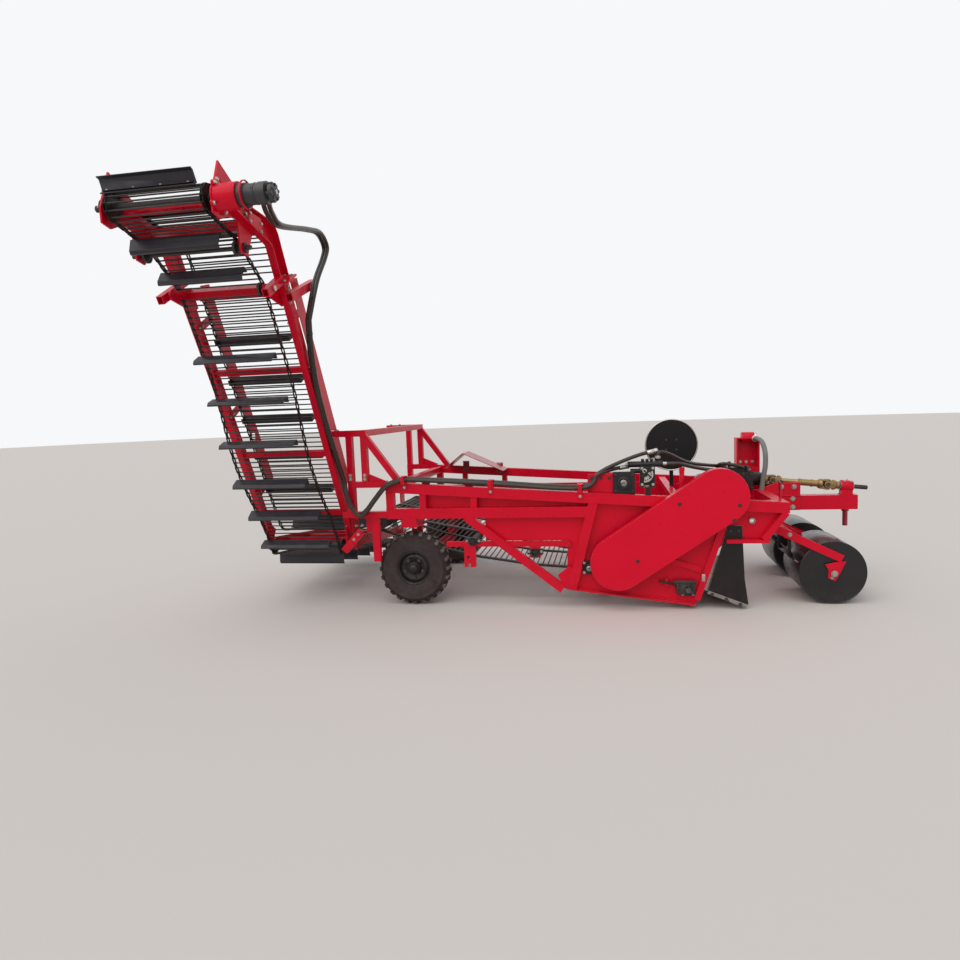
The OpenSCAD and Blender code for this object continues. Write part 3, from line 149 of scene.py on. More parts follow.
def build_mottle():
    """Soft cloudy change over a surface: a value between Low and High."""
    group, given, send = new_group("mottle", "Value", Scale=6, Low=0, High=1)
    place = add_node(group, "TexCoord").outputs["Object"]
    cloud = add_node(group, "TexNoise", {"Vector": place, "Scale": given["Scale"], "Detail": 5,
                                         "Roughness": 0.6})
    spread = add_node(group, "MapRange", {"Value": cloud.outputs["Fac"], "From Min": 0.3, "From Max": 0.7,
                                          "To Min": given["Low"], "To Max": given["High"]})
    send(spread.outputs["Result"])
    return group


def build_dust():
    """A mask of settled dust: more on faces that look up, more near the ground, and broken up."""
    group, given, send = new_group("dust", "Mask", Amount=0.3, Reach=0.6)
    place = add_node(group, "TexCoord").outputs["Object"]
    height = add_node(group, "SeparateXYZ", {0: place}).outputs["Z"]
    low = add_node(group, "MapRange", {"Value": height, "From Max": given["Reach"], "To Min": 1,
                                       "To Max": 0})
    normal = add_node(group, "SeparateXYZ", {0: add_node(group, "NewGeometry").outputs["Normal"]})
    upper = add_node(group, "MapRange", {"Value": normal.outputs["Z"], "From Min": 0.35, "From Max": 1,
                                         "To Max": 0.6})
    either = add_node(group, "Math", {0: low.outputs["Result"], 1: upper.outputs["Result"]},
                      operation="ADD")
    cloud = add_node(group, "TexNoise", {"Vector": place, "Scale": 14, "Detail": 8, "Roughness": 0.68})
    broken = add_node(group, "MapRange", {"Value": cloud.outputs["Fac"], "From Min": 0.38,
                                          "From Max": 0.72})
    both = add_node(group, "Math", {0: either.outputs[0], 1: broken.outputs["Result"]},
                    operation="MULTIPLY")
    weight = add_node(group, "Math", {0: both.outputs[0], 1: given["Amount"]}, operation="MULTIPLY",
                      use_clamp=True)
    send(weight.outputs[0])
    return group


def build_flecks():
    """Chips, scratches and rubbed spots: small hard-edged marks with a set share of the surface."""
    group, given, send = new_group("flecks", "Mask", Scale=60, Share=0.1)
    place = add_node(group, "TexCoord").outputs["Object"]
    cloud = add_node(group, "TexNoise", {"Vector": place, "Scale": given["Scale"], "Detail": 6,
                                         "Roughness": 0.7})
    limit = add_node(group, "Math", {0: 0.78, 1: given["Share"]}, operation="SUBTRACT")
    above = add_node(group, "Math", {0: cloud.outputs["Fac"], 1: limit.outputs[0]}, operation="SUBTRACT")
    sharp = add_node(group, "Math", {0: above.outputs[0], 1: 18}, operation="MULTIPLY", use_clamp=True)
    send(sharp.outputs[0])
    return group


mottle, dust, flecks = build_mottle(), build_dust(), build_flecks()


def finish(name, colour, shade, rough, metal=0.0, coat=0.0, dusty=0.3, reach=0.7,
           dust_colour=(0.42, 0.36, 0.30), chips=0.0, chip_colour=(0.2, 0.18, 0.17), chip_scale=60,
           grain=300, bump=0.04, cloud=5, light=0.5):
    """A coated or bare surface: two near tones, dust, chips and a fine grain."""
    material = bpy.data.materials.new(name)
    material.use_nodes = True
    tree = material.node_tree

    def put(group, **values):
        """The output of one of the shared groups."""
        return add_node(tree, "Group", values, node_tree=group).outputs[0]

    def blend(share, first, second):
        """A mix of two colours."""
        return add_node(tree, "Mix", {"Factor": share, "A": first, "B": second},
                        data_type="RGBA").outputs["Result"]

    tone = blend(put(mottle, Scale=cloud), (*colour, 1), (*shade, 1))
    if chips:
        tone = blend(put(flecks, Scale=chip_scale, Share=chips), tone, (*chip_colour, 1))
    settled = put(dust, Amount=dusty, Reach=reach)
    wander = put(mottle, Scale=23, Low=rough * 0.8, High=min(1, rough * 1.25))
    matt = add_node(tree, "Math", {0: settled, 1: 0.5, 2: wander}, operation="MULTIPLY_ADD")
    relief = add_node(tree, "Bump", {"Strength": bump, "Distance": 0.002,
                                     "Height": put(mottle, Scale=grain)})
    surface = tree.nodes["Principled BSDF"]
    for socket, value in (("Metallic", metal), ("Coat Weight", coat), ("Coat Roughness", 0.12),
                          ("Specular IOR Level", light)):
        surface.inputs[socket].default_value = value
    for socket, output in (("Base Color", blend(settled, tone, (*dust_colour, 1))),
                           ("Roughness", matt.outputs[0]), ("Normal", relief.outputs["Normal"])):
        tree.links.new(output, surface.inputs[socket])
    return material


forward, sideways, upright = Matrix.Identity(3)
red = finish("red enamel", (0.70, 0.002, 0.024), (0.61, 0.002, 0.020), 0.30, coat=0.05, dusty=0.04,
             light=0.15)
# Painted edge highlight: a lighter, pinker, glossier red for the rounded edges, with some real chips.
edge_highlight_and_chips = finish("red enamel, painted edge highlight and chips", (0.74, 0.016, 0.036), (0.62, 0.008, 0.024), 0.34,
                   coat=0.06, chips=0.06, chip_colour=(0.35, 0.2, 0.18), dusty=0.15, light=0.35)


def rail_top(x):
    """Height of the upper rail's top face."""
    return 989 - 0.066 * x


def ease(name, width, body_material, edge_material, angle=35, segments=2):
    """Rounds a CAD node's edges a little and puts the edge material on the rounding; on red parts that is a
    lighter red, a painted edge highlight.
    """
    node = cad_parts[name]
    node.data.materials.clear()
    node.data.materials.append(body_material)
    node.data.materials.append(edge_material)
    for face in node.data.polygons:
        face.material_index = 0
    join = node.modifiers.new("join", "WELD")
    join.merge_threshold = 0.00002
    rounding = node.modifiers.new("rounding", "BEVEL")
    rounding.width = width
    rounding.segments = segments
    rounding.limit_method = "ANGLE"
    rounding.angle_limit = math.radians(angle)
    rounding.material = 1
    rounding.use_clamp_overlap = True
    rounding.harden_normals = False
    return node


def piece(name, shape, materials, body, smooth=38):
    """Makes an object of a finished shape, smooth below an angle. It moves with its body, if given one."""
    bmesh.ops.recalc_face_normals(shape, faces=shape.faces)
    data = bpy.data.meshes.new(name)
    shape.to_mesh(data)
    shape.free()
    for material in materials:
        data.materials.append(material)
    data.polygons.foreach_set("use_smooth", [True] * len(data.polygons))
    data.set_sharp_from_angle(angle=math.radians(smooth))
    made = bpy.data.objects.new(name, data)
    bpy.context.scene.collection.objects.link(made)
    if body:
        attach(made, body)
    return made


def stood(place, out, turn=0.0):
    """Stands a shape's Z axis along a direction, at a place."""
    facing = out.to_track_quat("Z", "Y").to_matrix().to_4x4()
    return Matrix.Translation(place) @ facing @ Matrix.Rotation(turn, 4, "Z")


def add_part(shape, part, where, material=0):
    """Puts a small shape into a larger one, and frees it. With no material given it keeps its own."""
    part.transform(where)
    if material is not None:
        for face in part.faces:
            face.material_index = material
    held = bpy.data.meshes.new("held")
    part.to_mesh(held)
    part.free()
    shape.from_mesh(held)
    bpy.data.meshes.remove(held)


def turned_part(outline, sides=32, closed=False):
    """Spins (radius, height) points, in millimetres, about Z."""
    part = bmesh.new()
    points = [part.verts.new((r / 1000, 0, h / 1000)) for r, h in outline]
    pairs = list(zip(points, points[1:])) + ([(points[-1], points[0])] if closed else [])
    edges = [part.edges.new(pair) for pair in pairs]
    bmesh.ops.spin(part, geom=points + edges, axis=(0, 0, 1), cent=(0, 0, 0), steps=sides,
                   angle=math.tau, use_merge=True)
    bmesh.ops.remove_doubles(part, verts=part.verts, dist=1e-6)
    bmesh.ops.recalc_face_normals(part, faces=part.faces)
    return part


def turn_on(shape, outline, place, out, sides=32, closed=False, material=0):
    """Adds a turned part that stands at a place along a direction."""
    add_part(shape, turned_part(outline, sides, closed), stood(place, out), material)


def bar(size, ease_by=0.0):
    """A square bar about its own middle, its edges rounded; sizes are in metres."""
    part = bmesh.new()
    bmesh.ops.create_cube(part, size=1)
    bmesh.ops.scale(part, vec=size, verts=part.verts)
    if ease_by:
        bmesh.ops.bevel(part, geom=part.edges, offset=ease_by, affect="EDGES", segments=2, profile=0.5,
                        material=-1)
    return part


def laid(place, along, beside, over):
    """Lays a part at a place, its own X, Y and Z along three directions."""
    return Matrix.Translation(place) @ Matrix((along, beside, over)).transposed().to_4x4()


def block(shape, low, high, ease_by=3.0, material=0):
    """A bar or plate between two corners of the drawing, with its edges rounded."""
    part = bar([(b - a) / 1000 for a, b in zip(low, high)], ease_by / 1000)
    middle = at(*[(a + b) / 2 for a, b in zip(low, high)])
    add_part(shape, part, Matrix.Translation(middle), material)


def add_bolt(shape, place, out, width=22, material=0, turn=0.3):
    """A hexagon head on a round washer, its top turned to a slight chamfer."""
    where = stood(place, out, turn)
    for sides, foot, top, low, high in ((18, 0.68, 0.68, -0.03, 0.12), (6, 0.577, 0.577, 0.1, 0.42),
                                        (6, 0.577, 0.50, 0.42, 0.5)):
        made = bmesh.ops.create_cone(shape, cap_ends=True, segments=sides, radius1=width * foot / 1000,
                                     radius2=width * top / 1000, depth=width * (high - low) / 1000,
                                     matrix=where @ Matrix.Translation((0, 0, width * (high + low) / 2000)))
        for face in {face for vert in made["verts"] for face in vert.link_faces}:
            face.material_index = material


zinc = finish("zinc plated steel", (0.50, 0.47, 0.42), (0.33, 0.30, 0.27), 0.32, metal=0.85, dusty=0.25,
              chips=0.12, chip_colour=(0.16, 0.10, 0.07), chip_scale=140)
dark_bolt = finish("oiled bolt steel", (0.035, 0.028, 0.028), (0.065, 0.050, 0.046), 0.42, metal=0.5,
                   dusty=0.15)
for name in ("frame_side_near", "frame_side_far"):
    ease(name, 0.002, red, edge_highlight_and_chips)


def add_weld(shape, a, b, size=5.0, material=0):
    """A run of small overlapping beads between two places of the drawing."""
    start, end = at(*a), at(*b)
    count = max(2, int((end - start).length * 1000 / 6))
    for bead in range(count + 1):
        where = Matrix.Translation(start.lerp(end, bead / count)) @ Matrix.Diagonal((1, 1, 0.8, 1))
        made = bmesh.ops.create_icosphere(shape, subdivisions=1, radius=size / 1000, matrix=where)
        for face in {face for vert in made["verts"] for face in vert.link_faces}:
            face.material_index = material


lower_rail_top, frame_face = 791, 889
welds = bmesh.new()
for side in (-1, 1):
    for x in (115, 522):
        for z in (lower_rail_top, rail_top(x) - 81):
            add_weld(welds, (x - 25, side * 877, z), (x + 25, side * 877, z))
    for x, z, reach in ((-150, lower_rail_top, 30), (-150, rail_top(-150) - 80, 30),
                        (1440, rail_top(1440) - 80, 36)):
        add_weld(welds, (x - reach, side * frame_face, z), (x + reach, side * frame_face, z))
    add_weld(welds, (428, side * 883, 710), (512, side * 883, 710))
    for x in (432, 520):
        add_weld(welds, (x, side * 878, 480), (x, side * 878, 520))
    for z in (736, 986):
        add_weld(welds, (-180, side * frame_face, z - 24), (-180, side * frame_face, z + 24))
piece("frame_welds", welds, [red], "chassis", smooth=80)

# Cross tubes and rear tower.
# Square tubes that hold the two frames apart, corner gussets in front, and two A-frames joined
# by a beam at the back. All are welded, with bolted joints where the tower stands on the tail.
for name in ("frame_cross", "rear_tower"):
    ease(name, 0.002, red, edge_highlight_and_chips)
tower_bolts = bmesh.new()
for side in (-1, 1):
    for x in (-345, -465):
        for z in (1032, 1062):
            add_bolt(tower_bolts, at(x, side * 890, z), sideways * side, 22, turn=x)
    for x in (-650, -560):
        add_bolt(tower_bolts, at(x, side * 865, 1420), upright, 20)
    for x in (2620, 2680, 2730):
        add_bolt(tower_bolts, at(x, side * 800, rail_top(2795) - 8), upright, 22)
piece("tower_bolts", tower_bolts, [zinc], "chassis")
tower_welds = bmesh.new()
for side in (-1, 1):
    add_weld(tower_welds, (-372, side * frame_face, 1371), (-318, side * frame_face, 1371))
    add_weld(tower_welds, (-492, side * frame_face, 1371), (-438, side * frame_face, 1371))
    add_weld(tower_welds, (-360, side * 840, 1372), (-360, side * 840, 1418))
piece("tower_welds", tower_welds, [red], "chassis", smooth=80)

# Bent cover and stakes.
# A folded sheet over the far side's drive, and short flat stakes on the rails whose tops have
# been rubbed to bare pale primer.
cover_red = finish("dark red enamel", (0.34, 0.006, 0.018), (0.26, 0.005, 0.014), 0.34, coat=0.2, dusty=0.3)
primer = finish("worn primer", (0.62, 0.58, 0.54), (0.50, 0.40, 0.38), 0.6, dusty=0.3, chips=0.3,
                chip_colour=(0.5, 0.05, 0.06), chip_scale=90)
ease("deflector", 0.0015, cover_red, edge_highlight_and_chips)
stake_caps = bmesh.new()
for x in (135, 480):
    for side in (-1, 1):
        block(stake_caps, (x - 33, side * 825 - 6.5, rail_top(x) + 40),
              (x + 33, side * 825 + 6.5, rail_top(x) + 53.5), 2)
piece("stake_caps", stake_caps, [primer], "chassis")

# Side sheets.
# Two millimetre sheet in the plane of each frame, stiffened along its edges, with a plain round
# eye near the front, a small keeper on the front edge and the tensioner of the front web.
sheet_red = finish("red enamel on sheet", (0.73, 0.002, 0.026), (0.66, 0.002, 0.022), 0.32, coat=0.05,
                   dusty=0.03, reach=0.3, bump=0.04, grain=90, cloud=3, light=0.15)
for name in ("side_panel_near", "side_panel_far"):
    ease(name, 0.0012, sheet_red, edge_highlight_and_chips)
eyes, tensioners = bmesh.new(), bmesh.new()
thread = [(r, h) for k in range(26) for r, h in ((10, k * 5 + 1), (8.2, k * 5 + 3.5))]
for side in (-1, 1):
    out = sideways * side
    turn_on(eyes, [(14, 0), (25, 0), (25, 4), (22, 8), (17, 8), (14, 4)], at(2585, side * 838, 665), out,
            closed=True)
    block(eyes, (2226, side * 852 - 9, 214), (2250, side * 852 + 9, 268), 3)
    turn_on(tensioners, [(0, 0), (9, 0)] + thread + [(9, 132), (0, 132)], at(1915, side * 862, 214),
            Vector((1, 0, -0.2)), sides=12)
    block(tensioners, (1962, side * 850 - 14, 176), (1980, side * 850 + 14, 232), 2, material=1)
    block(tensioners, (2042, side * 850 - 20, 112), (2176, side * 850 + 20, 206), 8)
    block(tensioners, (2056, side * 872 - 8, 128), (2162, side * 872 + 8, 190), 5)
    block(tensioners, (2020, side * 866 - 9, 196), (2186, side * 866 + 9, 222), 4)
    for x, z in ((2066, 180), (2152, 180), (2066, 134), (2152, 134), (2109, 158)):
        add_bolt(tensioners, at(x, side * 880, z), out, 19, turn=x)
piece("sheet_eyes", eyes, [zinc], "chassis")
piece("web_tensioners", tensioners, [dark_bolt, red], "chassis")

# Digging share and side blades.
# Hardened plates bolted in front of the side sheets. Their black paint stays on the faces and is
# scoured to bright steel along the lower edges, where soil runs.


def cut_plate(shape, outline, y_low, y_high, material=0, ease_by=1.5):
    """A flat plate cut to an outline of (x, z) points, between two planes across the machine."""
    part = bmesh.new()
    face = part.faces.new([part.verts.new(at(x, y_low, z)) for x, z in outline])
    made = bmesh.ops.extrude_face_region(part, geom=[face])
    moved = [item for item in made["geom"] if isinstance(item, bmesh.types.BMVert)]
    bmesh.ops.translate(part, vec=(0, (y_high - y_low) / 1000, 0), verts=moved)
    bmesh.ops.recalc_face_normals(part, faces=part.faces)
    if ease_by:
        sharp = [edge for edge in part.edges if len(edge.link_faces) == 2 and edge.calc_face_angle(0) > 0.6]
        bmesh.ops.bevel(part, geom=sharp, offset=ease_by / 1000, affect="EDGES", segments=1, profile=0.5,
                        material=-1)
    add_part(shape, part, Matrix(), material)


blade_black = finish("black enamel on blades", (0.009, 0.006, 0.006), (0.016, 0.011, 0.010), 0.36,
                     coat=0.03, dusty=0.08, reach=0.2, light=0.3)
scoured = finish("scoured steel", (0.40, 0.37, 0.35), (0.22, 0.19, 0.18), 0.3, metal=0.9, dusty=0.25,
                 chips=0.2, chip_colour=(0.05, 0.04, 0.035), chip_scale=35)
ease("side_blades", 0.0012, blade_black, scoured)
ease("share", 0.0015, scoured, scoured)
blade_face, sheet_face = 851, 838
edges = bmesh.new()
for side in (-1, 1):
    y = side * blade_face
    cut_plate(edges, [(2264, 118), (2276, 141), (2546, 40), (2538, 14)], min(y, y - side * 4),
              max(y, y - side * 4))
    for x, z in ((2432, 590), (2490, 590), (2300, 112), (2400, 76), (2500, 38)):
        add_bolt(edges, at(x, side * (sheet_face if z > 200 else blade_face), z), sideways * side, 20,
                 material=1)
piece("blade_edges", edges, [scoured, dark_bolt], "chassis")

# Gap sheet and brace foot.
# Thin red sheet stands between the upper and the lower rail, set in from their outer faces, with
# a folded rib along its foot. A small plate is welded over the lower end of the slanting brace.
gap_sheet = bmesh.new()
cut_plate(gap_sheet, [(118, 786), (1430, 786), (1430, rail_top(1430) - 30), (118, rail_top(118) - 30)],
          -812, -809, 0, 0.6)
block(gap_sheet, (118, -818, 786), (1430, -806, 800), 2)
cut_plate(gap_sheet, [(1160, 262), (1200, 160), (1282, 136), (1306, 300), (1250, 330)], -872, -864)
piece("gap_sheet", gap_sheet, [sheet_red], "chassis")

# Axle, rims and tyres.
# A fixed axle beam with stub axles. Each wheel is a pressed black rim, dished inwards, held on its
# hub by five nuts, with a domed cap and a tyre whose open lugs are worn pale on top.
ease("axle", 0.002, red, edge_highlight_and_chips)
rim_black = finish("black rim enamel", (0.008, 0.005, 0.005), (0.015, 0.010, 0.009), 0.36, coat=0.06,
                   dusty=0.09, light=0.3)
rubber = finish("tyre rubber", (0.034, 0.024, 0.022), (0.050, 0.037, 0.034), 0.72, dusty=0.22,
                dust_colour=(0.20, 0.15, 0.13), grain=160, bump=0.12, light=0.25)
worn_rubber = finish("worn tread rubber", (0.17, 0.145, 0.13), (0.095, 0.080, 0.072), 0.8, dusty=0.45,
                     grain=220, bump=0.2, chips=0.2, chip_colour=(0.05, 0.042, 0.04), light=0.3)
wheel_radius, wheel_middle, lugs_round = 295, 754.5, 24
lug_across, lug_up = 0.041, 0.2865
carcass_half = [(136, 62), (139, 69), (147, 73), (151, 77), (158, 78), (161, 76), (185, 80), (214, 81.5),
                (238, 79), (241, 80.5), (246, 80), (249, 76), (264, 68), (276, 55), (281, 40), (283, 15)]
carcass = carcass_half + [(r, -h) for r, h in reversed(carcass_half)]


def on_circle(count, radius, first=0.0):
    """Offsets evenly round a circle about a cross shaft, in metres; the first angle is in radians."""
    return [Matrix.Rotation(math.tau * k / count + first, 3, "Y") @ Vector((radius, 0, 0))
            for k in range(count)]


def tread_lug(hand):
    """One lug: it runs from the middle of the tread over the shoulder, and its foot is wider."""
    part = bar((0.030, 0.078, 0.014))
    along = [edge for edge in part.edges if abs((edge.verts[0].co - edge.verts[1].co).y) > 0.05]
    bmesh.ops.subdivide_edges(part, edges=along, cuts=3, use_grid_fill=True)
    for vert in part.verts:
        reach = (vert.co.y * hand + 0.039) / 0.078
        drop = 0.026 * max(0, reach - 0.55) ** 1.6 * 2.6
        vert.co.z -= drop
        vert.co.x += 0.016 * reach
        if vert.co.z < -0.001 - drop:
            vert.co.x *= 1.12
    bmesh.ops.recalc_face_normals(part, faces=part.faces)
    for face in part.faces:
        face.material_index = 1 if face.normal.z > 0.6 else 0
    sharp = [edge for edge in part.edges if edge.calc_face_angle(0) > 0.8]
    bmesh.ops.bevel(part, geom=sharp, offset=0.0016, affect="EDGES", segments=1, profile=0.5, material=0)
    return part


for where, side in (("near", -1), ("far", 1)):
    name = "tyre_" + where
    hub = at(0, side * wheel_middle, wheel_radius)
    tyre = bmesh.new()
    turn_on(tyre, carcass, hub, sideways * side, sides=96, closed=True)
    for lug in range(lugs_round):
        for hand in (-1, 1):
            spin = Matrix.Rotation(math.tau * (lug + hand * 0.25) / lugs_round, 4, "Y")
            where_lug = Matrix.Translation(hub) @ spin @ Matrix.Translation((0, hand * lug_across, lug_up))
            add_part(tyre, tread_lug(hand), where_lug, None)
    made = piece(name + "_rubber", tyre, [rubber, worn_rubber], "wheel_" + where, smooth=35)
    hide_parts(name)
    ease("rim_" + where, 0.0012, rim_black, rim_black, angle=25)
    fittings = bmesh.new()
    out = sideways * side
    turn_on(fittings, [(0, 31), (14, 30), (26, 26), (35, 19), (40, 10), (41, 2), (46, 0), (46, -6),
                       (41, -8)], hub + out * 0.062, out)
    turn_on(fittings, [(128, 0), (133, 5), (139, 4), (143, -2), (139, -6), (131, -4)], hub + out * 0.062,
            out, sides=72, closed=True)
    for nut, reach in enumerate(on_circle(5, 0.076, 0.3)):
        add_bolt(fittings, hub + out * 0.047 + reach, out, 24, material=1, turn=nut)
        add_bolt(fittings, hub - out * 0.036 + reach, -out, 24, material=1, turn=nut)
    turn_on(fittings, [(0, 0), (5, 0), (5, 14), (3.4, 18), (3.4, 30), (4.2, 30), (4.2, 38), (0, 38)],
            hub + out * 0.030 + Vector((0, 0, 0.112)), out, sides=12)
    piece("rim_fittings_" + where, fittings, [rim_black, dark_bolt], "wheel_" + where)
axle_welds = bmesh.new()
for side in (-1, 1):
    for x in (-42, 42):
        add_weld(axle_welds, (x, side * 640, 336), (x, side * 662, 336))
        add_bolt(axle_welds, at(x, side * 720, 640), -upright, 24, material=1)
        add_bolt(axle_welds, at(x, side * 860, 640), -upright, 24, material=1)
piece("axle_fastenings", axle_welds, [red, zinc], "chassis", smooth=60)

# Headstock, drawbar and hitch pin.
# Two thick plates bolted through a heavy box drawbar. A plain pin with a collar stands down from
# its end, and flat strips with pin holes set the depth of the gauge rollers.
for name in ("headstock", "drawbar"):
    ease(name, 0.0025, red, edge_highlight_and_chips)
for name in ("hitch_pin", "depth_bars"):
    ease(name, 0.0015, cover_red, edge_highlight_and_chips)


def add_rod(shape, start, end, radius, chamfer=1.5, sides=24, material=0):
    """A round bar between two places in metres, its ends chamfered; sizes are in millimetres."""
    span = (end - start).length * 1000
    outline = [(0, 0), (radius - chamfer, 0), (radius, chamfer), (radius, span - chamfer),
               (radius - chamfer, span), (0, span)]
    turn_on(shape, outline, start, end - start, sides=sides, material=material)


hook_out = 560
head_bolts = bmesh.new()
for side in (-1, 1):
    out = sideways * side
    for x, z in ((2660, 720), (2660, 650), (2830, 720), (2830, 650), (3050, 720), (3050, 650),
                 (3060, 820), (2960, 820)):
        add_bolt(head_bolts, at(x, side * 66, z), out, 30, turn=x)
    for z in (708, 760):
        add_bolt(head_bolts, at(2819, side * hook_out, z), -forward, 24)
    add_rod(head_bolts, at(2800, side * hook_out, 690), at(2872, side * hook_out, 690), 8)
    turn_on(head_bolts, [(17, 0), (20, 2), (21.5, 5), (20, 8), (17, 10), (15.5, 5)],
            at(2862, side * hook_out, 672), Vector((0, 1, 0.2)), sides=24, closed=True)
    block(head_bolts, (2846, side * hook_out - 26, 905), (2858, side * hook_out + 26, 930), 3, material=1)
piece("head_bolts", head_bolts, [zinc, dark_bolt], "chassis")
head_welds = bmesh.new()
for side in (-1, 1):
    add_weld(head_welds, (2600, side * 68, 743), (3110, side * 68, 743), 5.5)
    add_weld(head_welds, (2757, side * 832, 735), (2757, side * 832, 800))
    add_weld(head_welds, (3430, side * 36, 744), (3520, side * 36, 744))
add_weld(head_welds, (3555, -50, 690), (3555, 50, 690), 4)
piece("head_welds", head_welds, [red], "chassis", smooth=80)

# Drive shaft.
# Two universal joints of gold passivated steel on a telescopic tube, with forged yokes, a cross
# in each joint and a splined stub in a red bearing on the drawbar.
gold = finish("gold passivated steel", (0.36, 0.22, 0.075), (0.24, 0.155, 0.07), 0.36, metal=0.65,
              dusty=0.15, chips=0.18, chip_colour=(0.12, 0.07, 0.04), chip_scale=80)
stub_steel = finish("greased stub steel", (0.10, 0.085, 0.08), (0.06, 0.05, 0.048), 0.3, metal=0.8,
                    dusty=0.15)
ease("pto_bearing", 0.003, red, edge_highlight_and_chips, angle=25)
shaft_tilt = math.radians(6)
tip = at(3640, 0, 795)
back = Vector((-math.cos(shaft_tilt), 0, math.sin(shaft_tilt)))
raised = Vector((math.sin(shaft_tilt), 0, math.cos(shaft_tilt)))
spline_count, stub_length = 14, 105


def on_shaft(way, across=0.0, up=0.0):
    """A place along the drive shaft from its tip, and off its middle."""
    return tip + back * way / 1000 + Vector((0, across / 1000, 0)) + raised * up / 1000


def add_yoke(shape, way, facing, ears_up):
    """Half a universal joint: a round foot and two eared arms that hold the cross."""
    start = on_shaft(way)
    aim = back * facing
    turn_on(shape, [(0, -14), (28, -14), (37, -6), (41, 4), (42, 16), (34, 25), (16, 29), (0, 29)], start,
            aim, sides=36)
    for side in (-1, 1):
        offset = raised * side if ears_up else sideways * side
        arm_side = sideways if ears_up else raised
        low = start + aim * 0.010 + offset * 0.030
        high = start + aim * 0.060 + offset * 0.034
        part = bar((0.052, 0.015, 0.062))
        for vert in part.verts:
            if vert.co.z < 0:
                vert.co.x *= 1.15
        bmesh.ops.bevel(part, geom=part.edges, offset=0.003, affect="EDGES", segments=2, profile=0.5,
                        material=-1)
        add_part(shape, part, laid((low + high) / 2, arm_side, offset, aim))
        add_rod(shape, high - offset * 0.010, high + offset * 0.008, 27, 3, 32)
        add_rod(shape, high + offset * 0.005, high + offset * 0.0095, 18, 1, 24, material=1)


shaft = bmesh.new()
for joint in (312, 744):
    add_yoke(shaft, joint - 60, 1, False)
    add_yoke(shaft, joint + 60, -1, True)
    add_rod(shaft, on_shaft(joint, -40), on_shaft(joint, 40), 15, 1, 24, material=1)
    add_rod(shaft, on_shaft(joint, 0, -40), on_shaft(joint, 0, 40), 15, 1, 24, material=1)
    turn_on(shaft, [(0, 0), (3, 0), (3, 5), (5, 7), (3, 12), (0, 13)], on_shaft(joint, 8, 8),
            (raised + sideways).normalized(), sides=10, material=1)
for low, high, radius, slot_number in ((105, 222, 21, 1), (218, 262, 31, 0), (360, 540, 27, 0),
                                       (420, 440, 31, 0), (515, 535, 30, 0), (530, 700, 22, 2),
                                       (792, 830, 31, 0)):
    add_rod(shaft, on_shaft(low), on_shaft(high), radius, 2, 36, slot_number)
splines = turned_part([(0, 0), (14, 0), (15.5, 2.5), (15.5, stub_length), (0, stub_length)], 36)
add_part(shaft, splines, stood(on_shaft(0), back), 1)
for tooth in range(spline_count):
    turn = Matrix.Rotation(math.tau * tooth / spline_count, 4, back)
    lie = Matrix.Translation(tip) @ turn @ laid(back * 0.0525 + raised * 0.0157, sideways, raised, back)
    add_part(shaft, bar((0.0042, 0.0036, 0.098)), lie, 1)
sleeve_gold = finish("gold sleeve", (0.44, 0.30, 0.13), (0.34, 0.24, 0.11), 0.3, metal=0.6, dusty=0.15)
made = piece("drive_shaft", shaft, [gold, stub_steel, sleeve_gold], "drive_line")
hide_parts("pto_shaft")
bearing_bolts = bmesh.new()
for side in (-1, 1):
    for way in (135, 190):
        add_bolt(bearing_bolts, on_shaft(way, side * 30, 36), raised, 18)
    turn_on(bearing_bolts, [(22, 0), (38, 0), (38, 3), (22, 3)], on_shaft(114 if side < 0 else 211),
            back * side, closed=True)
turn_on(bearing_bolts, [(0, 0), (4, 0), (4, 6), (6, 8), (3, 14), (0, 15)], on_shaft(162, 0, 46), raised,
        sides=10)
piece("bearing_bolts", bearing_bolts, [zinc], "chassis")

# Gearbox and its output shaft.
# A black cast box between the frames, with bolted covers and ribs, a breather, a round cap and
# three pipe unions on top. Rings of bolts hold the flanges of its input and output shafts.
cast_black = finish("black paint on castings", (0.010, 0.008, 0.008), (0.020, 0.016, 0.016), 0.42,
                    coat=0.04, dusty=0.08, grain=60, bump=0.15, light=0.35)
ease("gearbox", 0.003, cast_black, cast_black, angle=25)
box_details = bmesh.new()
for side in (-1, 1):
    out = sideways * side
    for x in (2466, 2530, 2650, 2714):
        for z in (822, 936):
            add_bolt(box_details, at(x, side * 115, z), out, 20, material=1, turn=x)
    for x in (2500, 2560, 2620, 2680):
        block(box_details, (x - 5, side * 118 - 6, 826), (x + 5, side * 118 + 6, 930), 2)
    for reach in on_circle(6, 0.048):
        add_bolt(box_details, at(2345, -300 if side < 0 else 115, 862) + reach, out, 17, material=1)
for k in range(8):
    turn = Matrix.Rotation(math.tau * k / 8, 3, back)
    add_bolt(box_details, on_shaft(835) + turn @ (raised * 0.043), -back, 16, material=1)
for x, y in ((2516, -64), (2516, 64), (2654, -64), (2654, 64)):
    add_bolt(box_details, at(x, y, 990), upright, 20, material=1)
turn_on(box_details, [(0, 0), (12, 0), (12, 10), (9, 12), (9, 26), (15, 28), (15, 40), (10, 46), (0, 46)],
        at(2560, 10, 988), upright, sides=20)
turn_on(box_details, [(0, 0), (40, 0), (44, 6), (44, 24), (36, 30), (0, 30)], at(2400, 0, 905), upright)
for y in (-60, 0, 60):
    add_rod(box_details, at(2690, y - 30, 955), at(2690, y - 30, 1000), 13, 2, 6, 1)
piece("gearbox_details", box_details, [cast_black, dark_bolt], "chassis")

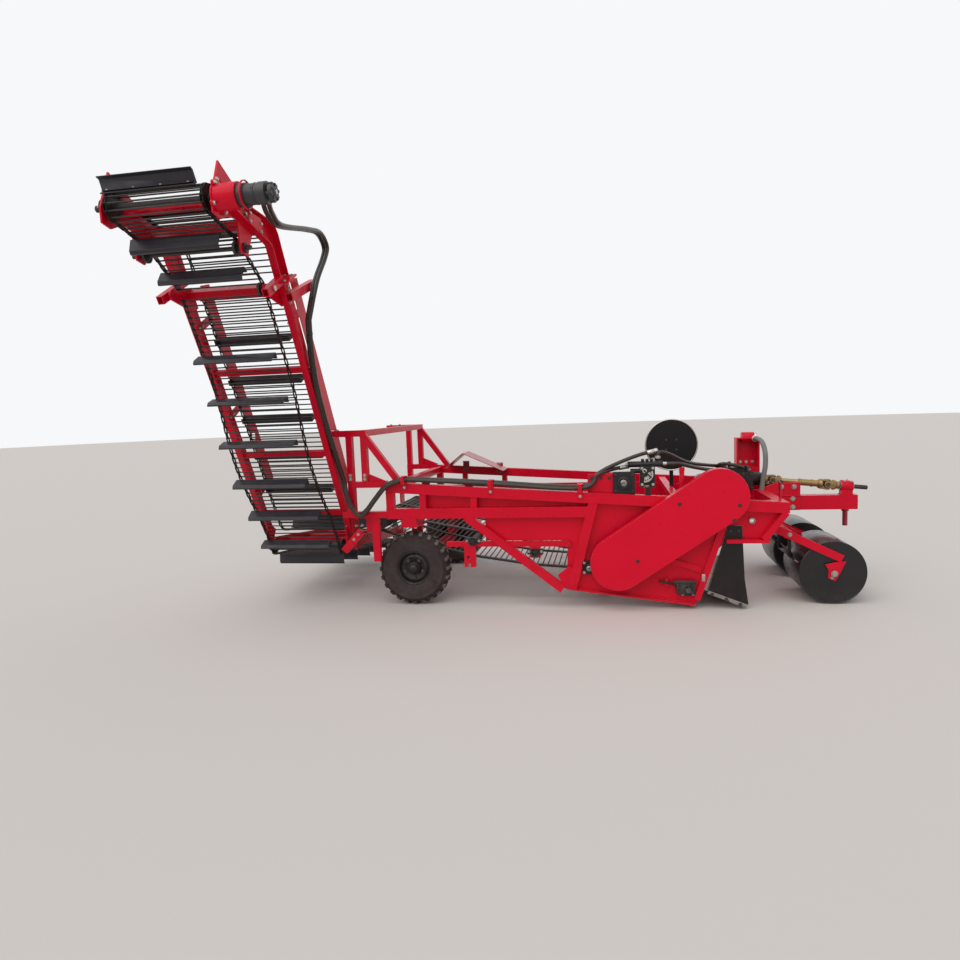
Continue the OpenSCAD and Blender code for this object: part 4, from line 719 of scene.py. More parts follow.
# Rod webs.
# Black spring steel rods riveted to side belts, running over rubber covered rollers. Soil has
# scoured the rods to dark steel, with pale dust on their undersides.
rod_steel = finish("rod steel", (0.026, 0.021, 0.020), (0.052, 0.042, 0.039), 0.42, metal=0.35,
                   dusty=0.08, chips=0.12, chip_colour=(0.16, 0.12, 0.10), chip_scale=50)
roller_rubber = finish("roller rubber", (0.045, 0.040, 0.038), (0.075, 0.066, 0.060), 0.65, dusty=0.25,
                       grain=120, bump=0.1)
for name in ("web_front", "web_rear"):
    ease(name, 0.0008, rod_steel, rod_steel, angle=50, segments=1)
ease("web_shafts", 0.003, roller_rubber, scoured, angle=40)
ease("web_bearings", 0.003, cast_black, cast_black, angle=30)
bearings = bmesh.new()
for side in (-1, 1):
    out = sideways * side
    for x, z in ((2126, 152), (1600, 382), (1398, 314)):
        for dx in (-38, 38):
            for dz in (-38, 38):
                add_bolt(bearings, at(x + dx, side * 852, z + dz), out, 17, turn=dx * dz)
        turn_on(bearings, [(0, 0), (19, 0), (20, 2), (20, 14), (17, 16), (7, 16), (5, 12), (0, 12)],
                at(x, side * 874, z), out, sides=28, material=1)
        turn_on(bearings, [(24, 0), (31, 0), (32, 3), (28, 7), (22, 6)], at(x, side * 876, z), out,
                closed=True, material=2)
    for x, z in ((989, 441), (503, 526)):
        block(bearings, (x - 62, side * 858 - 4, z - 24), (x + 62, side * 858 + 4, z + 24), 4, material=2)
        for dx in (-48, 48):
            add_bolt(bearings, at(x + dx, side * 862, z), out, 17, turn=dx)
        turn_on(bearings, [(17, 0), (26, 0), (28, 2), (26, 6), (19, 6)], at(x, side * 880, z), out,
                sides=36, closed=True, material=1)
        turn_on(bearings, [(0, 0), (13, 0), (13, 7), (11, 9), (0, 9)], at(x, side * 879, z), out,
                sides=24, material=2)
piece("bearing_details", bearings, [zinc, scoured, cast_black], "chassis")

# Chain guard.
# A pressed cover with round ends over the chain that drives the front web, held by four dark
# bolts on washers and open at the back.
ease("chain_guard", 0.004, sheet_red, edge_highlight_and_chips, segments=3)
guard_bolts = bmesh.new()
for x, z in ((1757, 390), (2060, 811), (2477, 797), (2440, 690)):
    place = at(x, -975, z)
    turn_on(guard_bolts, [(0, 0), (13, 0), (14, 1.5), (13, 3), (0, 3)], place, -sideways, sides=24)
    add_bolt(guard_bolts, place + Vector((0, -0.002, 0)), -sideways, 15, turn=x)
piece("guard_bolts", guard_bolts, [dark_bolt], "chassis")
drive_chain = bmesh.new()
sprocket_profile = [(0, -8), (100, -8), (104, -4), (112, -2), (112, 2), (104, 4), (100, 8), (0, 8)]
low, high = at(1612, -925, 368), at(2345, -925, 862)
for place, scale in ((low, 1.0), (high, 1.25)):
    turn_on(drive_chain, [(r * scale, h) for r, h in sprocket_profile], place, sideways, sides=40)
link_count, link_pitch = 34, 0.0254
run = (high - low).normalized()
square = Vector((-run.z, 0, run.x))
for side in (-1, 1):
    for link in range(link_count):
        part = bar((0.023, 0.018 if link % 2 else 0.010, 0.016))
        where = low + run * (0.02 + link * link_pitch) + square * side * (0.112 + 0.028 * link / link_count)
        add_part(drive_chain, part, laid(where, run, sideways, square))
piece("guard_chain", drive_chain, [dark_bolt], "chassis")

# Gauge rollers and their frame.
# Two closed steel drums, painted black and polished by the ground, between flat arms that swing
# on one shaft. A steel blade behind each drum scrapes it clean.
drum_black = finish("black drum paint", (0.008, 0.006, 0.007), (0.014, 0.011, 0.013), 0.30, coat=0.12,
                    dusty=0.06, reach=0.15, grain=60, bump=0.015, cloud=4, light=0.4)
for name in ("gauge_roller_near", "gauge_roller_far"):
    ease(name, 0.004, drum_black, drum_black, angle=40, segments=3)
for name in ("roller_frame", "roller_pivot"):
    ease(name, 0.002, red, edge_highlight_and_chips)
row_middle, roller_x, roller_z = 425, 3192, 238.5
for where, middle in (("near", -row_middle), ("far", row_middle)):
    ends = bmesh.new()
    for side in (-1, 1):
        out = sideways * side
        face = at(roller_x, middle + side * 245, roller_z)
        turn_on(ends, [(19, 0), (48, 0), (50, 2), (46, 4), (30, 5), (28, 8), (19, 8)], face, out,
                sides=36, closed=True)
        for reach in on_circle(4, 0.039, 0.4):
            turn_on(ends, [(0, 0), (6.5, 0), (6.5, 3), (5.5, 4), (0, 4)], face + out * 0.003 + reach, out,
                    sides=6)
        turn_on(ends, [(229, -1), (234, 1.5), (238, -1)], face, out, sides=96, closed=True)
    piece("roller_ends_" + where, ends, [drum_black], "roller_" + where)
carriers = bmesh.new()
for middle in (-row_middle, row_middle):
    for side in (-1, 1):
        out = sideways * side
        face = middle + side * 269
        add_bolt(carriers, at(roller_x, face + side * 8, roller_z), out, 36, turn=0.5)
        add_bolt(carriers, at(3178, face, 205), out, 20, material=1)
        add_bolt(carriers, at(2880, face, 533), out, 24)
        turn_on(carriers, [(17, 0), (27, 0), (28, 2), (28, 10), (25, 12), (17, 12)], at(2765, face, 585),
                out, closed=True, material=2)
    block(carriers, (2912, middle - 240, 330), (2922, middle + 240, 380), 1.5, 3)
    cut_plate(carriers, [(2918, 342), (2950, 318), (2948, 313), (2912, 336)], middle - 236, middle + 236,
              1, 0.5)
    for side in (-1, 1):
        block(carriers, (2888, middle + side * 170 - 5, 345), (2914, middle + side * 170 + 5, 510), 2, 3)
        add_bolt(carriers, at(2922, middle + side * 170, 357), forward, 20)
piece("roller_carriers", carriers, [zinc, scoured, red, blade_black], "rollers")
arm_welds = bmesh.new()
for middle in (-row_middle, row_middle):
    for side in (-1, 1):
        y = middle + side * 256
        add_weld(arm_welds, (2852, y, 504), (2903, y, 504))
        add_weld(arm_welds, (2852, y, 556), (2903, y, 556))
piece("arm_welds", arm_welds, [red], "rollers", smooth=80)

# Square drive unit on its red plate.
# A black cast housing on the near rail, with a round flange, a machined ring and a plug, that
# turns the rear web.
ease("drive_unit", 0.004, cast_black, cast_black, angle=25, segments=3)
unit_plate = bmesh.new()
cut_plate(unit_plate, [(1402, rail_top(1402) + 1), (1588, rail_top(1588) + 1), (1588, 1031),
                       (1402, 1031)], -846, -834)
piece("unit_plate", unit_plate, [red], "chassis")
unit_x, unit_z = 1670, 964
unit = bmesh.new()
out = -sideways
turn_on(unit, [(27, 0), (45, 0), (47, 3), (47, 8), (43, 11), (33, 11), (30, 7), (27, 7)],
        at(unit_x - 3, -890, unit_z), out, sides=40, closed=True)
turn_on(unit, [(0, 0), (24, 0), (24, 5), (17, 8), (8, 8), (6, 4), (0, 4)], at(unit_x - 3, -892, unit_z),
        out, material=1)
for dx, dz in ((-62, -60), (62, -60), (-62, 62), (62, 62)):
    turn_on(unit, [(0, 0), (13, 0), (15, 2), (15, 6), (0, 6)], at(unit_x + dx, -869, unit_z + dz), out,
            sides=24)
    add_bolt(unit, at(unit_x + dx, -875, unit_z + dz), out, 18, material=2, turn=dx)
for x in (1430, 1500, 1560):
    add_bolt(unit, at(x, -845, 1000), out, 18, material=2)
piece("unit_flange", unit, [cast_black, scoured, dark_bolt], "chassis")

# Hydraulic valve.
# A black valve body with a bright quadrant for its lever, plated fittings, a brass coloured pipe
# below and short black hoses to the gearbox.
plated = finish("bright plated steel", (0.60, 0.57, 0.53), (0.42, 0.39, 0.36), 0.26, metal=0.8, dusty=0.2)
brass = finish("dull brass", (0.36, 0.25, 0.14), (0.26, 0.18, 0.11), 0.4, metal=0.6, dusty=0.3)
ease("valve_block", 0.003, cast_black, cast_black, angle=25)
valve = bmesh.new()
quadrant = bmesh.new()
quadrant_place = at(1826, -836, 1020)
first = Matrix.Rotation(math.radians(-100), 3, "Z")
ends = [quadrant.verts.new(first @ Vector((reach, 0, 0))) for reach in (0.020, 0.060)]
bmesh.ops.spin(quadrant, geom=ends + [quadrant.edges.new(ends)], axis=(0, 0, 1), cent=(0, 0, 0), steps=9,
               angle=math.radians(126))
bmesh.ops.recalc_face_normals(quadrant, faces=quadrant.faces)
bmesh.ops.solidify(quadrant, geom=quadrant.faces, thickness=0.005)
add_part(valve, quadrant, laid(quadrant_place, forward, upright, -sideways), 1)
for k in range(6):
    notch = quadrant_place + Matrix.Rotation(math.radians(88 - k * 22), 3, "Y") @ Vector((0.044, 0, 0))
    add_rod(valve, notch, notch - sideways * 0.007, 4.5, 0.5, 12)
add_rod(valve, at(1822, -828, 1046), at(1822, -846, 1046), 17, 2, 24, 1)
add_rod(valve, at(1822, -846, 1046), at(1822, -850, 1046), 9, 1, 6)
add_rod(valve, at(1822, -845, 1046), at(1872, -852, 992), 5, 1, 12, 0)
for start, end, radius in (((1683, -750, 1090), (1716, -750, 1090), 15),
                           ((1716, -750, 1090), (1752, -750, 1090), 19),
                           ((1890, -748, 1078), (1890, -748, 1108), 19),
                           ((1890, -748, 1108), (1890, -748, 1136), 14),
                           ((1960, -750, 1090), (1990, -750, 1090), 16),
                           ((1925, -750, 1130), (1925, -750, 1152), 20)):
    add_rod(valve, at(*start), at(*end), radius, 2, 6 if radius > 18 else 24, 1)
for low, high, radius in ((915, 938, 22), (865, 915, 15), (848, 868, 19)):
    add_rod(valve, at(1838, -815, low), at(1838, -815, high), radius, 2, 6 if radius > 18 else 24, 2)
for x, z in ((1805, 940), (1885, 940), (1805, 1062), (1885, 1062)):
    add_bolt(valve, at(x, -800, z), -sideways, 16, material=1)
for x in (1812, 1845, 1878):
    add_rod(valve, at(x, -760, 1078), at(x, -760, 1112), 9, 1, 20, 0)
    turn_on(valve, [(0, 0), (9, 2), (13, 9), (13, 14), (9, 21), (0, 23)], at(x, -760, 1110), upright,
            sides=20)
piece("valve_fittings", valve, [cast_black, plated, brass], "chassis")


def bend_through(places, steps):
    """A smooth path through places, as a list of points."""
    path = []
    for k in range(len(places) - 1):
        a, b, c, d = places[max(0, k - 1)], places[k], places[k + 1], places[min(len(places) - 1, k + 2)]
        for step in range(steps):
            t = step / steps
            path.append(0.5 * (2 * b + (c - a) * t + (2 * a - 5 * b + 4 * c - d) * t * t
                               + (3 * b - a - 3 * c + d) * t ** 3))
    return path + [places[-1]]


hose_steps = 8


def add_hose(shape, places, radius, sides=16, material=0):
    """A round hose along a path: a ring of points is carried along it and bridged."""
    path = bend_through([Vector(place) for place in places], hose_steps)
    part = bmesh.new()
    lean = Vector((0.3, 0.5, 0.8))
    rings = []
    for k, point in enumerate(path):
        aim = (path[min(k + 1, len(path) - 1)] - path[max(k - 1, 0)]).normalized()
        lean = (lean - aim * lean.dot(aim)).normalized()
        made = bmesh.ops.create_circle(part, cap_ends=False, segments=sides, radius=radius / 1000,
                                       matrix=laid(point, lean, aim.cross(lean), aim))
        rings.append(made["verts"])
    for low, high in zip(rings, rings[1:]):
        for k in range(sides):
            part.faces.new((low[k], low[(k + 1) % sides], high[(k + 1) % sides], high[k]))
    part.faces.new(rings[0][::-1])
    part.faces.new(rings[-1])
    bmesh.ops.recalc_face_normals(part, faces=part.faces)
    add_part(shape, part, Matrix(), material)


hose_brown = finish("hose rubber", (0.030, 0.019, 0.014), (0.046, 0.030, 0.023), 0.32, coat=0.06,
                    dusty=0.06, reach=0.3, light=0.35, grain=400, bump=0.05)
short_hoses = bmesh.new()
for radius, places in ((15, [(1985, -750, 1090), (2080, -745, 1085), (2200, -640, 1050), (2330, -420, 1010),
                             (2420, -200, 985), (2490, -70, 975)]),
                       (14, [(1925, -750, 1150), (1940, -745, 1176), (2010, -700, 1160),
                             (2160, -520, 1080), (2350, -250, 1030), (2520, -30, 1000)]),
                       (15, [(1838, -815, 850), (1840, -815, 818), (1868, -812, 790),
                             (1905, -790, 772)]),
                       (14, [(2490, -40, 960), (2440, -150, 1010), (2480, -220, 1035),
                             (2600, -140, 1010), (2660, -60, 985)])):
    add_hose(short_hoses, [at(*place) for place in places], radius)
piece("short_hoses", short_hoses, [hose_brown], "chassis", smooth=80)

# Round cover, mast and hose.
# A pressed black disc on a post, with a bright plated ring round its edge that paints the highlight
# along its rim, and a folded red mast with a round head from which a thick grey hose drops to the
# headstock.
disc_black = finish("black disc enamel", (0.008, 0.007, 0.0075), (0.013, 0.011, 0.012), 0.5, dusty=0.05,
                    reach=0.2, light=0.2)
ease("cover_disc", 0.002, disc_black, disc_black, angle=25, segments=3)
ease("mast", 0.002, red, edge_highlight_and_chips)
disc_x, disc_z = 2085, 1190
# Painted highlight: a bright plated ring stands for the light along the black disc's rim.
disc = bmesh.new()
turn_on(disc, [(209, 0), (218, -1), (220, 3), (219, 16), (214, 19), (209, 17)], at(disc_x, -22, disc_z),
        -sideways, sides=96, closed=True)
piece("disc_rim_painted_highlight", disc, [zinc], "chassis")
disc_bolts = bmesh.new()
for reach in on_circle(4, 0.06, 0.78):
    add_bolt(disc_bolts, at(disc_x, -42, disc_z) + reach, -sideways, 16)
    add_bolt(disc_bolts, at(disc_x, -19, disc_z) + reach, sideways, 16)
piece("disc_bolts", disc_bolts, [dark_bolt], "chassis")
post = bmesh.new()
block(post, (2078, -806, rail_top(2060) - 6), (2112, -772, 1050), 3)
cut_plate(post, [(2076, 1020), (2114, 1038), (2114, 1062), (2076, 1062)], -812, -768)
piece("pin_post", post, [red], "chassis")
mast_parts = bmesh.new()
turn_on(mast_parts, [(0, 0), (34, 0), (37, 4), (37, 18), (30, 26), (12, 29), (0, 29)],
        at(2790, 190, 1225), forward)
for x in (2690, 2740, 2790):
    add_bolt(mast_parts, at(x, 240, 1010), -sideways, 20)
piece("mast_head", mast_parts, [plated], "chassis")
grey_rubber = finish("grey hose rubber", (0.20, 0.19, 0.17), (0.14, 0.13, 0.12), 0.45, dusty=0.25,
                     grain=400)
lever_hose = bmesh.new()
add_hose(lever_hose, [at(2790, 128, 1215), at(2800, 84, 1216), at(2826, 20, 1190), at(2838, -40, 1110),
                      at(2834, -72, 1000), at(2812, -84, 880), at(2798, -86, 745)], 20)
add_rod(lever_hose, at(2790, 118, 1215), at(2790, 132, 1215), 27, 2, 24, 1)
add_rod(lever_hose, at(2798, -86, 775), at(2798, -86, 735), 24, 2, 6, 1)
made = piece("grey_hose", lever_hose, [grey_rubber, zinc], "chassis", smooth=60)
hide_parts("mast_lever")

# Elevator leg and trough.
# Two square tube rails with ties, folded side sheets on straps, and a trough under the rear web.
# Links at the knee are bolted, and the ties are welded in. A square bar braces the knee.
for name in ("elevator_leg", "elevator_trough"):
    ease(name, 0.002, red, edge_highlight_and_chips)
foot = Vector((-787, 455))


def slope(degrees, square=False):
    """A direction of the elevator seen along the machine: up it, or square to it and outward."""
    a = math.radians(degrees)
    return Vector((-math.sin(a), -math.cos(a))) if square else Vector((-math.cos(a), math.sin(a)))


def polar(degrees):
    """A direction seen along the machine, at an angle up from the far side."""
    a = math.radians(degrees)
    return Vector((math.cos(a), math.sin(a)))


leg_angle, trough_angle, head_angle = 61.5, 6, 13.7
up_leg, off_leg = slope(leg_angle), slope(leg_angle, True)
along_trough, off_trough = slope(trough_angle), slope(trough_angle, True)
near_rail, far_rail, near_chain, far_chain = -599, -1285, -640, -1244
carry_out, return_out, leg_web_end, fold_way = -270, -32, 2155, 2180


def on_leg(way, out):
    """A place up the leg from its foot, and out from it."""
    return foot + up_leg * way + off_leg * out


def spot(point, x):
    """A place of the elevator's drawing, at a distance along the machine."""
    return at(x, point.x, point.y)


def pointing(direction):
    """A direction of the elevator's drawing, in space."""
    return Vector((0, direction.x, direction.y))


near_tie, far_tie = -549, -1335
leg_bolts = bmesh.new()
for way in (240, 814, 1530, 2128):
    for step in (-14, 14):
        add_bolt(leg_bolts, spot(on_leg(way + step, -178), near_tie), forward, 19, turn=way)
        add_bolt(leg_bolts, spot(on_leg(way + step, -178), far_tie), -forward, 19, turn=way)
for way in (430, 1172, 1890):
    for out in (-208, -160, -372):
        add_bolt(leg_bolts, spot(on_leg(way, out), -602), -forward, 18, turn=out)
        add_bolt(leg_bolts, spot(on_leg(way, out), -1282), forward, 18, turn=out)
for way in (2040, 2100):
    for out in (-205, -150):
        add_bolt(leg_bolts, spot(on_leg(way, out), near_tie), forward, 22, turn=out)
knee = on_leg(-45, -90)
for place in (on_leg(120, -150), on_leg(120, -205), Vector((-620, 580)), Vector((-590, 590))):
    add_bolt(leg_bolts, spot(place, -590), forward, 20, turn=place.x)
pin = on_leg(fold_way + 20, 26)
add_rod(leg_bolts, spot(pin, near_tie), spot(pin, near_tie + 12), 19, 2, 24)
add_rod(leg_bolts, spot(pin, far_tie), spot(pin, far_tie - 12), 19, 2, 24)
for x in (-470, -420):
    for side in (-1, 1):
        add_bolt(leg_bolts, at(x, side * 800, 640), upright, 22)
leg_welds = bmesh.new()
for way in (240, 814, 1530):
    for step in (-24, 24):
        low, high = on_leg(way + step, -192), on_leg(way + step, -164)
        for x in (-601, -1283):
            add_weld(leg_welds, (x, low.x, low.y), (x, high.x, high.y), 4)
knee_bracket = bmesh.new()
high_end, low_end = at(-412, -846, 606), at(-562, -846, 446)
lie = (low_end - high_end).normalized()
add_part(knee_bracket, bar((0.058, 0.050, (high_end - low_end).length), 0.003),
         laid((high_end + low_end) / 2, Vector((lie.z, 0, -lie.x)), sideways, lie))
piece("knee_bracket", knee_bracket, [red], "chassis")
for x, z in ((-432, 585), (-470, 544)):
    add_bolt(leg_bolts, at(x, -871, z), -sideways, 18, turn=x)
piece("leg_bolts", leg_bolts, [zinc], "chassis")
piece("leg_welds", leg_welds, [red], "chassis", smooth=80)

# Elevator web.
# Two steel link chains with a black rod at every joint, running over plain wheels at the knee, at
# the end of the trough and on the fold's pin. The slack return run hangs out from the leg.


def meet(a, u, b, v):
    """Where a line from a along u crosses a line from b along v."""
    gap = b - a
    return a + u * ((gap.x * v.y - gap.y * v.x) / (u.x * v.y - u.y * v.x))


def round_turn(middle, radius, first, last, steps):
    """Points on an arc, from one angle to another, in degrees."""
    return [middle + radius * polar(first + (last - first) * k / steps) for k in range(steps + 1)]


def angle_of(direction):
    """The angle of a direction, in degrees."""
    return math.degrees(math.atan2(direction.y, direction.x))


chain_pitch, first_joint, joint_margin, rod_length, rod_start = 42, 12, 17, 626, -1255


class Route:
    """A path of the elevator's chain, measured along its length."""

    def __init__(self, points):
        self.points = points
        self.ways = [0.0]
        for a, b in zip(points, points[1:]):
            self.ways.append(self.ways[-1] + (b - a).length)
        self.total = self.ways[-1]

    def part(self, way):
        """The straight part on which a way lies."""
        return max(k for k in range(len(self.points) - 1) if self.ways[k] <= way)

    def point(self, way):
        """The place at a way along the path."""
        k = self.part(way)
        a, b = self.points[k], self.points[k + 1]
        return a.lerp(b, (way - self.ways[k]) / (self.ways[k + 1] - self.ways[k]))

    def aim(self, way):
        """The direction of the path at a way."""
        k = self.part(way)
        return (self.points[k + 1] - self.points[k]).normalized()

    def joints(self):
        """The places of the chain's joints, where the rods are."""
        count = int((self.total - joint_margin) / chain_pitch) + 1
        return [self.point(first_joint + k * chain_pitch) for k in range(count)]


chain_black = finish("oiled chain steel", (0.014, 0.011, 0.011), (0.030, 0.024, 0.022), 0.38, metal=0.4,
                     dusty=0.06, chips=0.08, light=0.3, chip_colour=(0.20, 0.17, 0.15), chip_scale=70)


def add_chain(shape, route, x, material=0):
    """Linked chain: pairs of plates, outside and inside in turn, with a barrel at every rod."""
    joints = route.joints()
    for start in joints:
        add_rod(shape, spot(start, x - 11.5), spot(start, x + 11.5), 6.5, 0.8, 10, material)
    for link, (start, end) in enumerate(zip(joints, joints[1:])):
        aim = pointing((end - start).normalized())
        link_up = aim.cross(forward)
        spread = 8.6 if link % 2 else 5.0
        for side in (-1, 1):
            part = bar((0.054, 0.0030, 0.0165))
            corners = [edge for edge in part.edges if abs((edge.verts[0].co - edge.verts[1].co).y) > 0.001]
            bmesh.ops.bevel(part, geom=corners, offset=0.005, affect="EDGES", segments=1, profile=0.5,
                            material=-1)
            middle = (spot(start, x + side * spread) + spot(end, x + side * spread)) / 2
            add_part(shape, part, laid(middle, aim, forward, link_up), material)


def add_rods(shape, route, material=0):
    """The round rods of the web, from chain to chain."""
    outline = [(0, 0), (4.6, 0), (5, 0.6), (5, rod_length - 0.6), (4.6, rod_length), (0, rod_length)]
    for place in route.joints():
        turn_on(shape, outline, spot(place, rod_start), forward, sides=10, material=material)


def add_wheel(shape, place, radius, x, material=0, shine=1):
    """A plain flanged chain wheel with a hub and a rubbed rim."""
    half = [(15, 13), (26, 13), (27, 11), (27, 6), (radius - 12, 6), (radius - 9, 9), (radius - 2, 9)]
    outline = [(r, -h) for r, h in half] + half[::-1]
    turn_on(shape, outline, spot(place, x), forward, sides=48, closed=True, material=material)
    turn_on(shape, [(radius - 3, -8), (radius, -7), (radius, 7), (radius - 3, 8)], spot(place, x),
            forward, sides=48, closed=True, material=shine)


trough_end = knee + off_trough * (68 - 95) - along_trough * 1480
carry_leg = on_leg(0, carry_out)
inner_bend = meet(trough_end - off_trough * 95, along_trough, carry_leg, up_leg)
return_run = []
for k in range(15):
    way = leg_web_end - k * (leg_web_end - 110) / 14
    sag = 88 * math.sin(math.pi * (way - 60) / 1540) ** 2 if 60 < way < 1600 else 0
    return_run.append(on_leg(way, return_out + sag))
knee_turn = round_turn(knee, 68, angle_of(off_leg), angle_of(off_trough), 6)
trough_turn = round_turn(trough_end, 95, angle_of(off_trough), angle_of(off_trough) + 180, 9)
carry_run = [inner_bend - along_trough * 70, inner_bend - along_trough * 18 + up_leg * 18,
             inner_bend + up_leg * 70, on_leg(leg_web_end, carry_out)]
leg_route = Route(return_run + knee_turn + trough_turn + carry_run)
leg_web = bmesh.new()
for x in (near_chain, far_chain):
    add_chain(leg_web, leg_route, x)
    add_wheel(leg_web, knee, 60, x, 2)
    add_wheel(leg_web, trough_end, 87, x, 2)
add_rods(leg_web, leg_route, 1)
add_wheel(leg_web, pin, 44, near_chain, 2)
for place in (knee, trough_end):
    add_rod(leg_web, spot(place, far_rail - 40), spot(place, near_rail + 40), 15, 2, 28, 1)
add_rod(leg_web, spot(pin, near_chain), spot(pin, near_rail - 16), 10, 1, 20, 1)
made = piece("leg_web", leg_web, [chain_black, rod_steel, cast_black, scoured], "chassis")
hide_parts("elevator_web")

# Carrier boards.
# Rubber faced boards bolted to every eighth rod, their outer edge folded over. They are a dusty
# blue black.
board_blue = finish("board rubber", (0.018, 0.016, 0.021), (0.034, 0.030, 0.038), 0.40, dusty=0.10,
                    grain=160, bump=0.1, dust_colour=(0.16, 0.14, 0.145), reach=3.0, light=0.35)
board_edge = finish("board rubber, rubbed edge", (0.070, 0.060, 0.070), (0.050, 0.044, 0.052), 0.5,
                    dusty=0.15, reach=3.0)
for name in ("elevator_boards", "head_boards"):
    ease(name, 0.0015, board_blue, board_edge, angle=20)
web_middle = -985


def add_board_feet(shape, route, ways):
    """The strip and bolts that hold each board's foot to its rods."""
    for way in ways:
        aim = route.aim(way)
        out = Vector((aim.y, -aim.x))
        base = route.point(way) + out * 8
        lie = laid(spot(base + out * 8.5 + aim * 22, web_middle), forward, pointing(aim), pointing(out))
        add_part(shape, bar((0.570, 0.022, 0.003)), lie, 1)
        for step in (-255, -85, 85, 255):
            add_bolt(shape, spot(base + out * 9.5 + aim * 22, web_middle + step), pointing(out), 13,
                     turn=step)


knee_way = leg_route.total - (leg_web_end - (inner_bend - carry_leg).dot(up_leg))
board_step = 335
board_ways = [way for way in range(425, int(leg_route.total - 60), board_step) if abs(way - knee_way) > 150]
leg_feet = bmesh.new()
add_board_feet(leg_feet, leg_route, board_ways)
piece("leg_board_feet", leg_feet, [zinc, board_blue], "chassis")

# Elevator head.
# Folded and welded channels, end plates and lugs in red sheet, which fold down about the pins as
# one piece. Bearings for the drive shaft are bolted to the end plates.
ease("elevator_head", 0.0015, red, edge_highlight_and_chips, angle=30)
down_head, off_head = slope(head_angle), slope(head_angle, True)
lower_bend = on_leg(fold_way + 257, -118)
tip_place = lower_bend + down_head * 590
second_wheel = lower_bend + down_head * 267 + off_head * 145


def at_tip(way, out):
    """A place along the head from its tip, and out from it."""
    return tip_place + down_head * way + off_head * out


head_parts = bmesh.new()
for side, x in ((1, -587), (-1, -1297)):
    out = forward * side
    turn_on(head_parts, [(22, 0), (48, 0), (52, 3), (52, 8), (40, 11), (33, 18), (22, 18)],
            spot(tip_place, x), out, sides=40, closed=True, material=1)
    for way, away in ((0, -100), (-210, -30), (-330, -66)):
        add_bolt(head_parts, spot(at_tip(way + 22, away), x), out, 20, turn=way)
    for k in range(3):
        add_bolt(head_parts, spot(tip_place + polar(60 + k * 120) * 44, x + side * 8), out, 15, turn=k)
    turn_on(head_parts, [(14, 0), (28, 0), (30, 2), (30, 9), (24, 12), (14, 12)], spot(second_wheel, x),
            out, closed=True, material=1)
    for step in (190, 365):
        add_bolt(head_parts, spot(lower_bend + down_head * step - off_head * 14, x), out, 18, turn=step)
for x, side in ((-543, 1), (-1341, -1)):
    for way in (146, 284):
        for out in (14, 62):
            add_bolt(head_parts, spot(lower_bend + down_head * (way + out * 0.15) - off_head * out,
                                      x - side * 6), forward * side, 17, turn=way)
for out in (-238, -118):
    for x in (-574, -530, -1310, -1354):
        add_bolt(head_parts, spot(on_leg(2196, out), x), pointing(up_leg), 18, turn=x)
piece("head_fittings", head_parts, [zinc, cast_black], "head")
bell = bmesh.new()
for k in range(4):
    reach = polar(35 + k * 90)
    add_bolt(bell, spot(tip_place + reach * 84, -570), forward, 20, material=1, turn=k)
    part = bmesh.new()
    bmesh.ops.create_cone(part, cap_ends=True, segments=24, radius1=0.019, radius2=0.017, depth=0.014)
    add_part(bell, part, stood(spot(tip_place + reach * 82, -580), forward))
for x in (-585, -412):
    turn_on(bell, [(74, -5), (80, -4), (80, 4), (74, 5)], spot(tip_place, x), forward, sides=64,
            closed=True)
piece("bell_ears", bell, [red, zinc], "head")

# Head web.
# The same chains and rods on the part that folds, over drive wheels at the tip and a second pair
# of wheels below.
carry_bend = meet(carry_leg, up_leg, lower_bend - off_head * 95, down_head)
down_run = [on_leg(fold_way + 25, carry_out), carry_bend - up_leg * 60,
            carry_bend + down_head * 10 - up_leg * 14, carry_bend + down_head * 60]
tip_turn = round_turn(tip_place, 78, angle_of(-off_head), angle_of(-off_head) + 174, 9)
second_turn = round_turn(second_wheel, -54, angle_of(off_head) - 6, angle_of(off_leg) + 22, 4)
head_route = Route(down_run + tip_turn + second_turn + [on_leg(fold_way + 25, return_out)])
head_chain = bmesh.new()
for x in (near_chain, far_chain):
    add_chain(head_chain, head_route, x)
    add_wheel(head_chain, tip_place, 70, x, 2)
    add_wheel(head_chain, second_wheel, 46, x, 2)
add_rods(head_chain, head_route, 1)
add_rod(head_chain, spot(tip_place, far_rail - 70), spot(tip_place, near_rail + 150), 20, 2, 32, 1)
add_rod(head_chain, spot(second_wheel, far_rail - 56), spot(second_wheel, near_rail + 56), 14, 2, 28, 1)
made = piece("head_web_chains", head_chain, [chain_black, rod_steel, cast_black, scoured], "head")
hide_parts("head_web")
head_feet = bmesh.new()
add_board_feet(head_feet, head_route, (300, 635, 970, 1380, 1705))
piece("head_board_feet", head_feet, [zinc, board_blue], "head")

# Motor of the head.
# A cast hydraulic motor: bolted flange, ribbed barrel, notched end cover with its bolts, a bright
# plug in a ring and two ports on which the hoses are screwed.
motor_black = finish("dark grey motor paint", (0.030, 0.028, 0.030), (0.046, 0.043, 0.045), 0.38,
                     coat=0.08, dusty=0.08, reach=0.2, light=0.4, grain=70, bump=0.15)
ease("head_motor", 0.003, motor_black, motor_black, angle=40)
motor = bmesh.new()
for k in range(5):
    reach, ridge = polar(72 * k + 20), polar(72 * k + 54.377)
    add_bolt(motor, spot(tip_place + reach * 40, -238), forward, 14, turn=k, material=1)
    add_bolt(motor, spot(tip_place + reach * 52, -354), forward, 16, turn=k, material=1)
    beside = pointing(Vector((-ridge.y, ridge.x)))
    lie = laid(spot(tip_place + ridge * 50, -254), beside, pointing(ridge), forward)
    add_part(motor, bar((0.016, 0.012, 0.034), 0.003), lie)
turn_on(motor, [(0, -30), (50, -30), (52, -27), (52, -10), (48, -4), (30, -2), (26, 4), (18, 4), (16, 0),
                (0, 0)], spot(tip_place, -234), forward, sides=48)
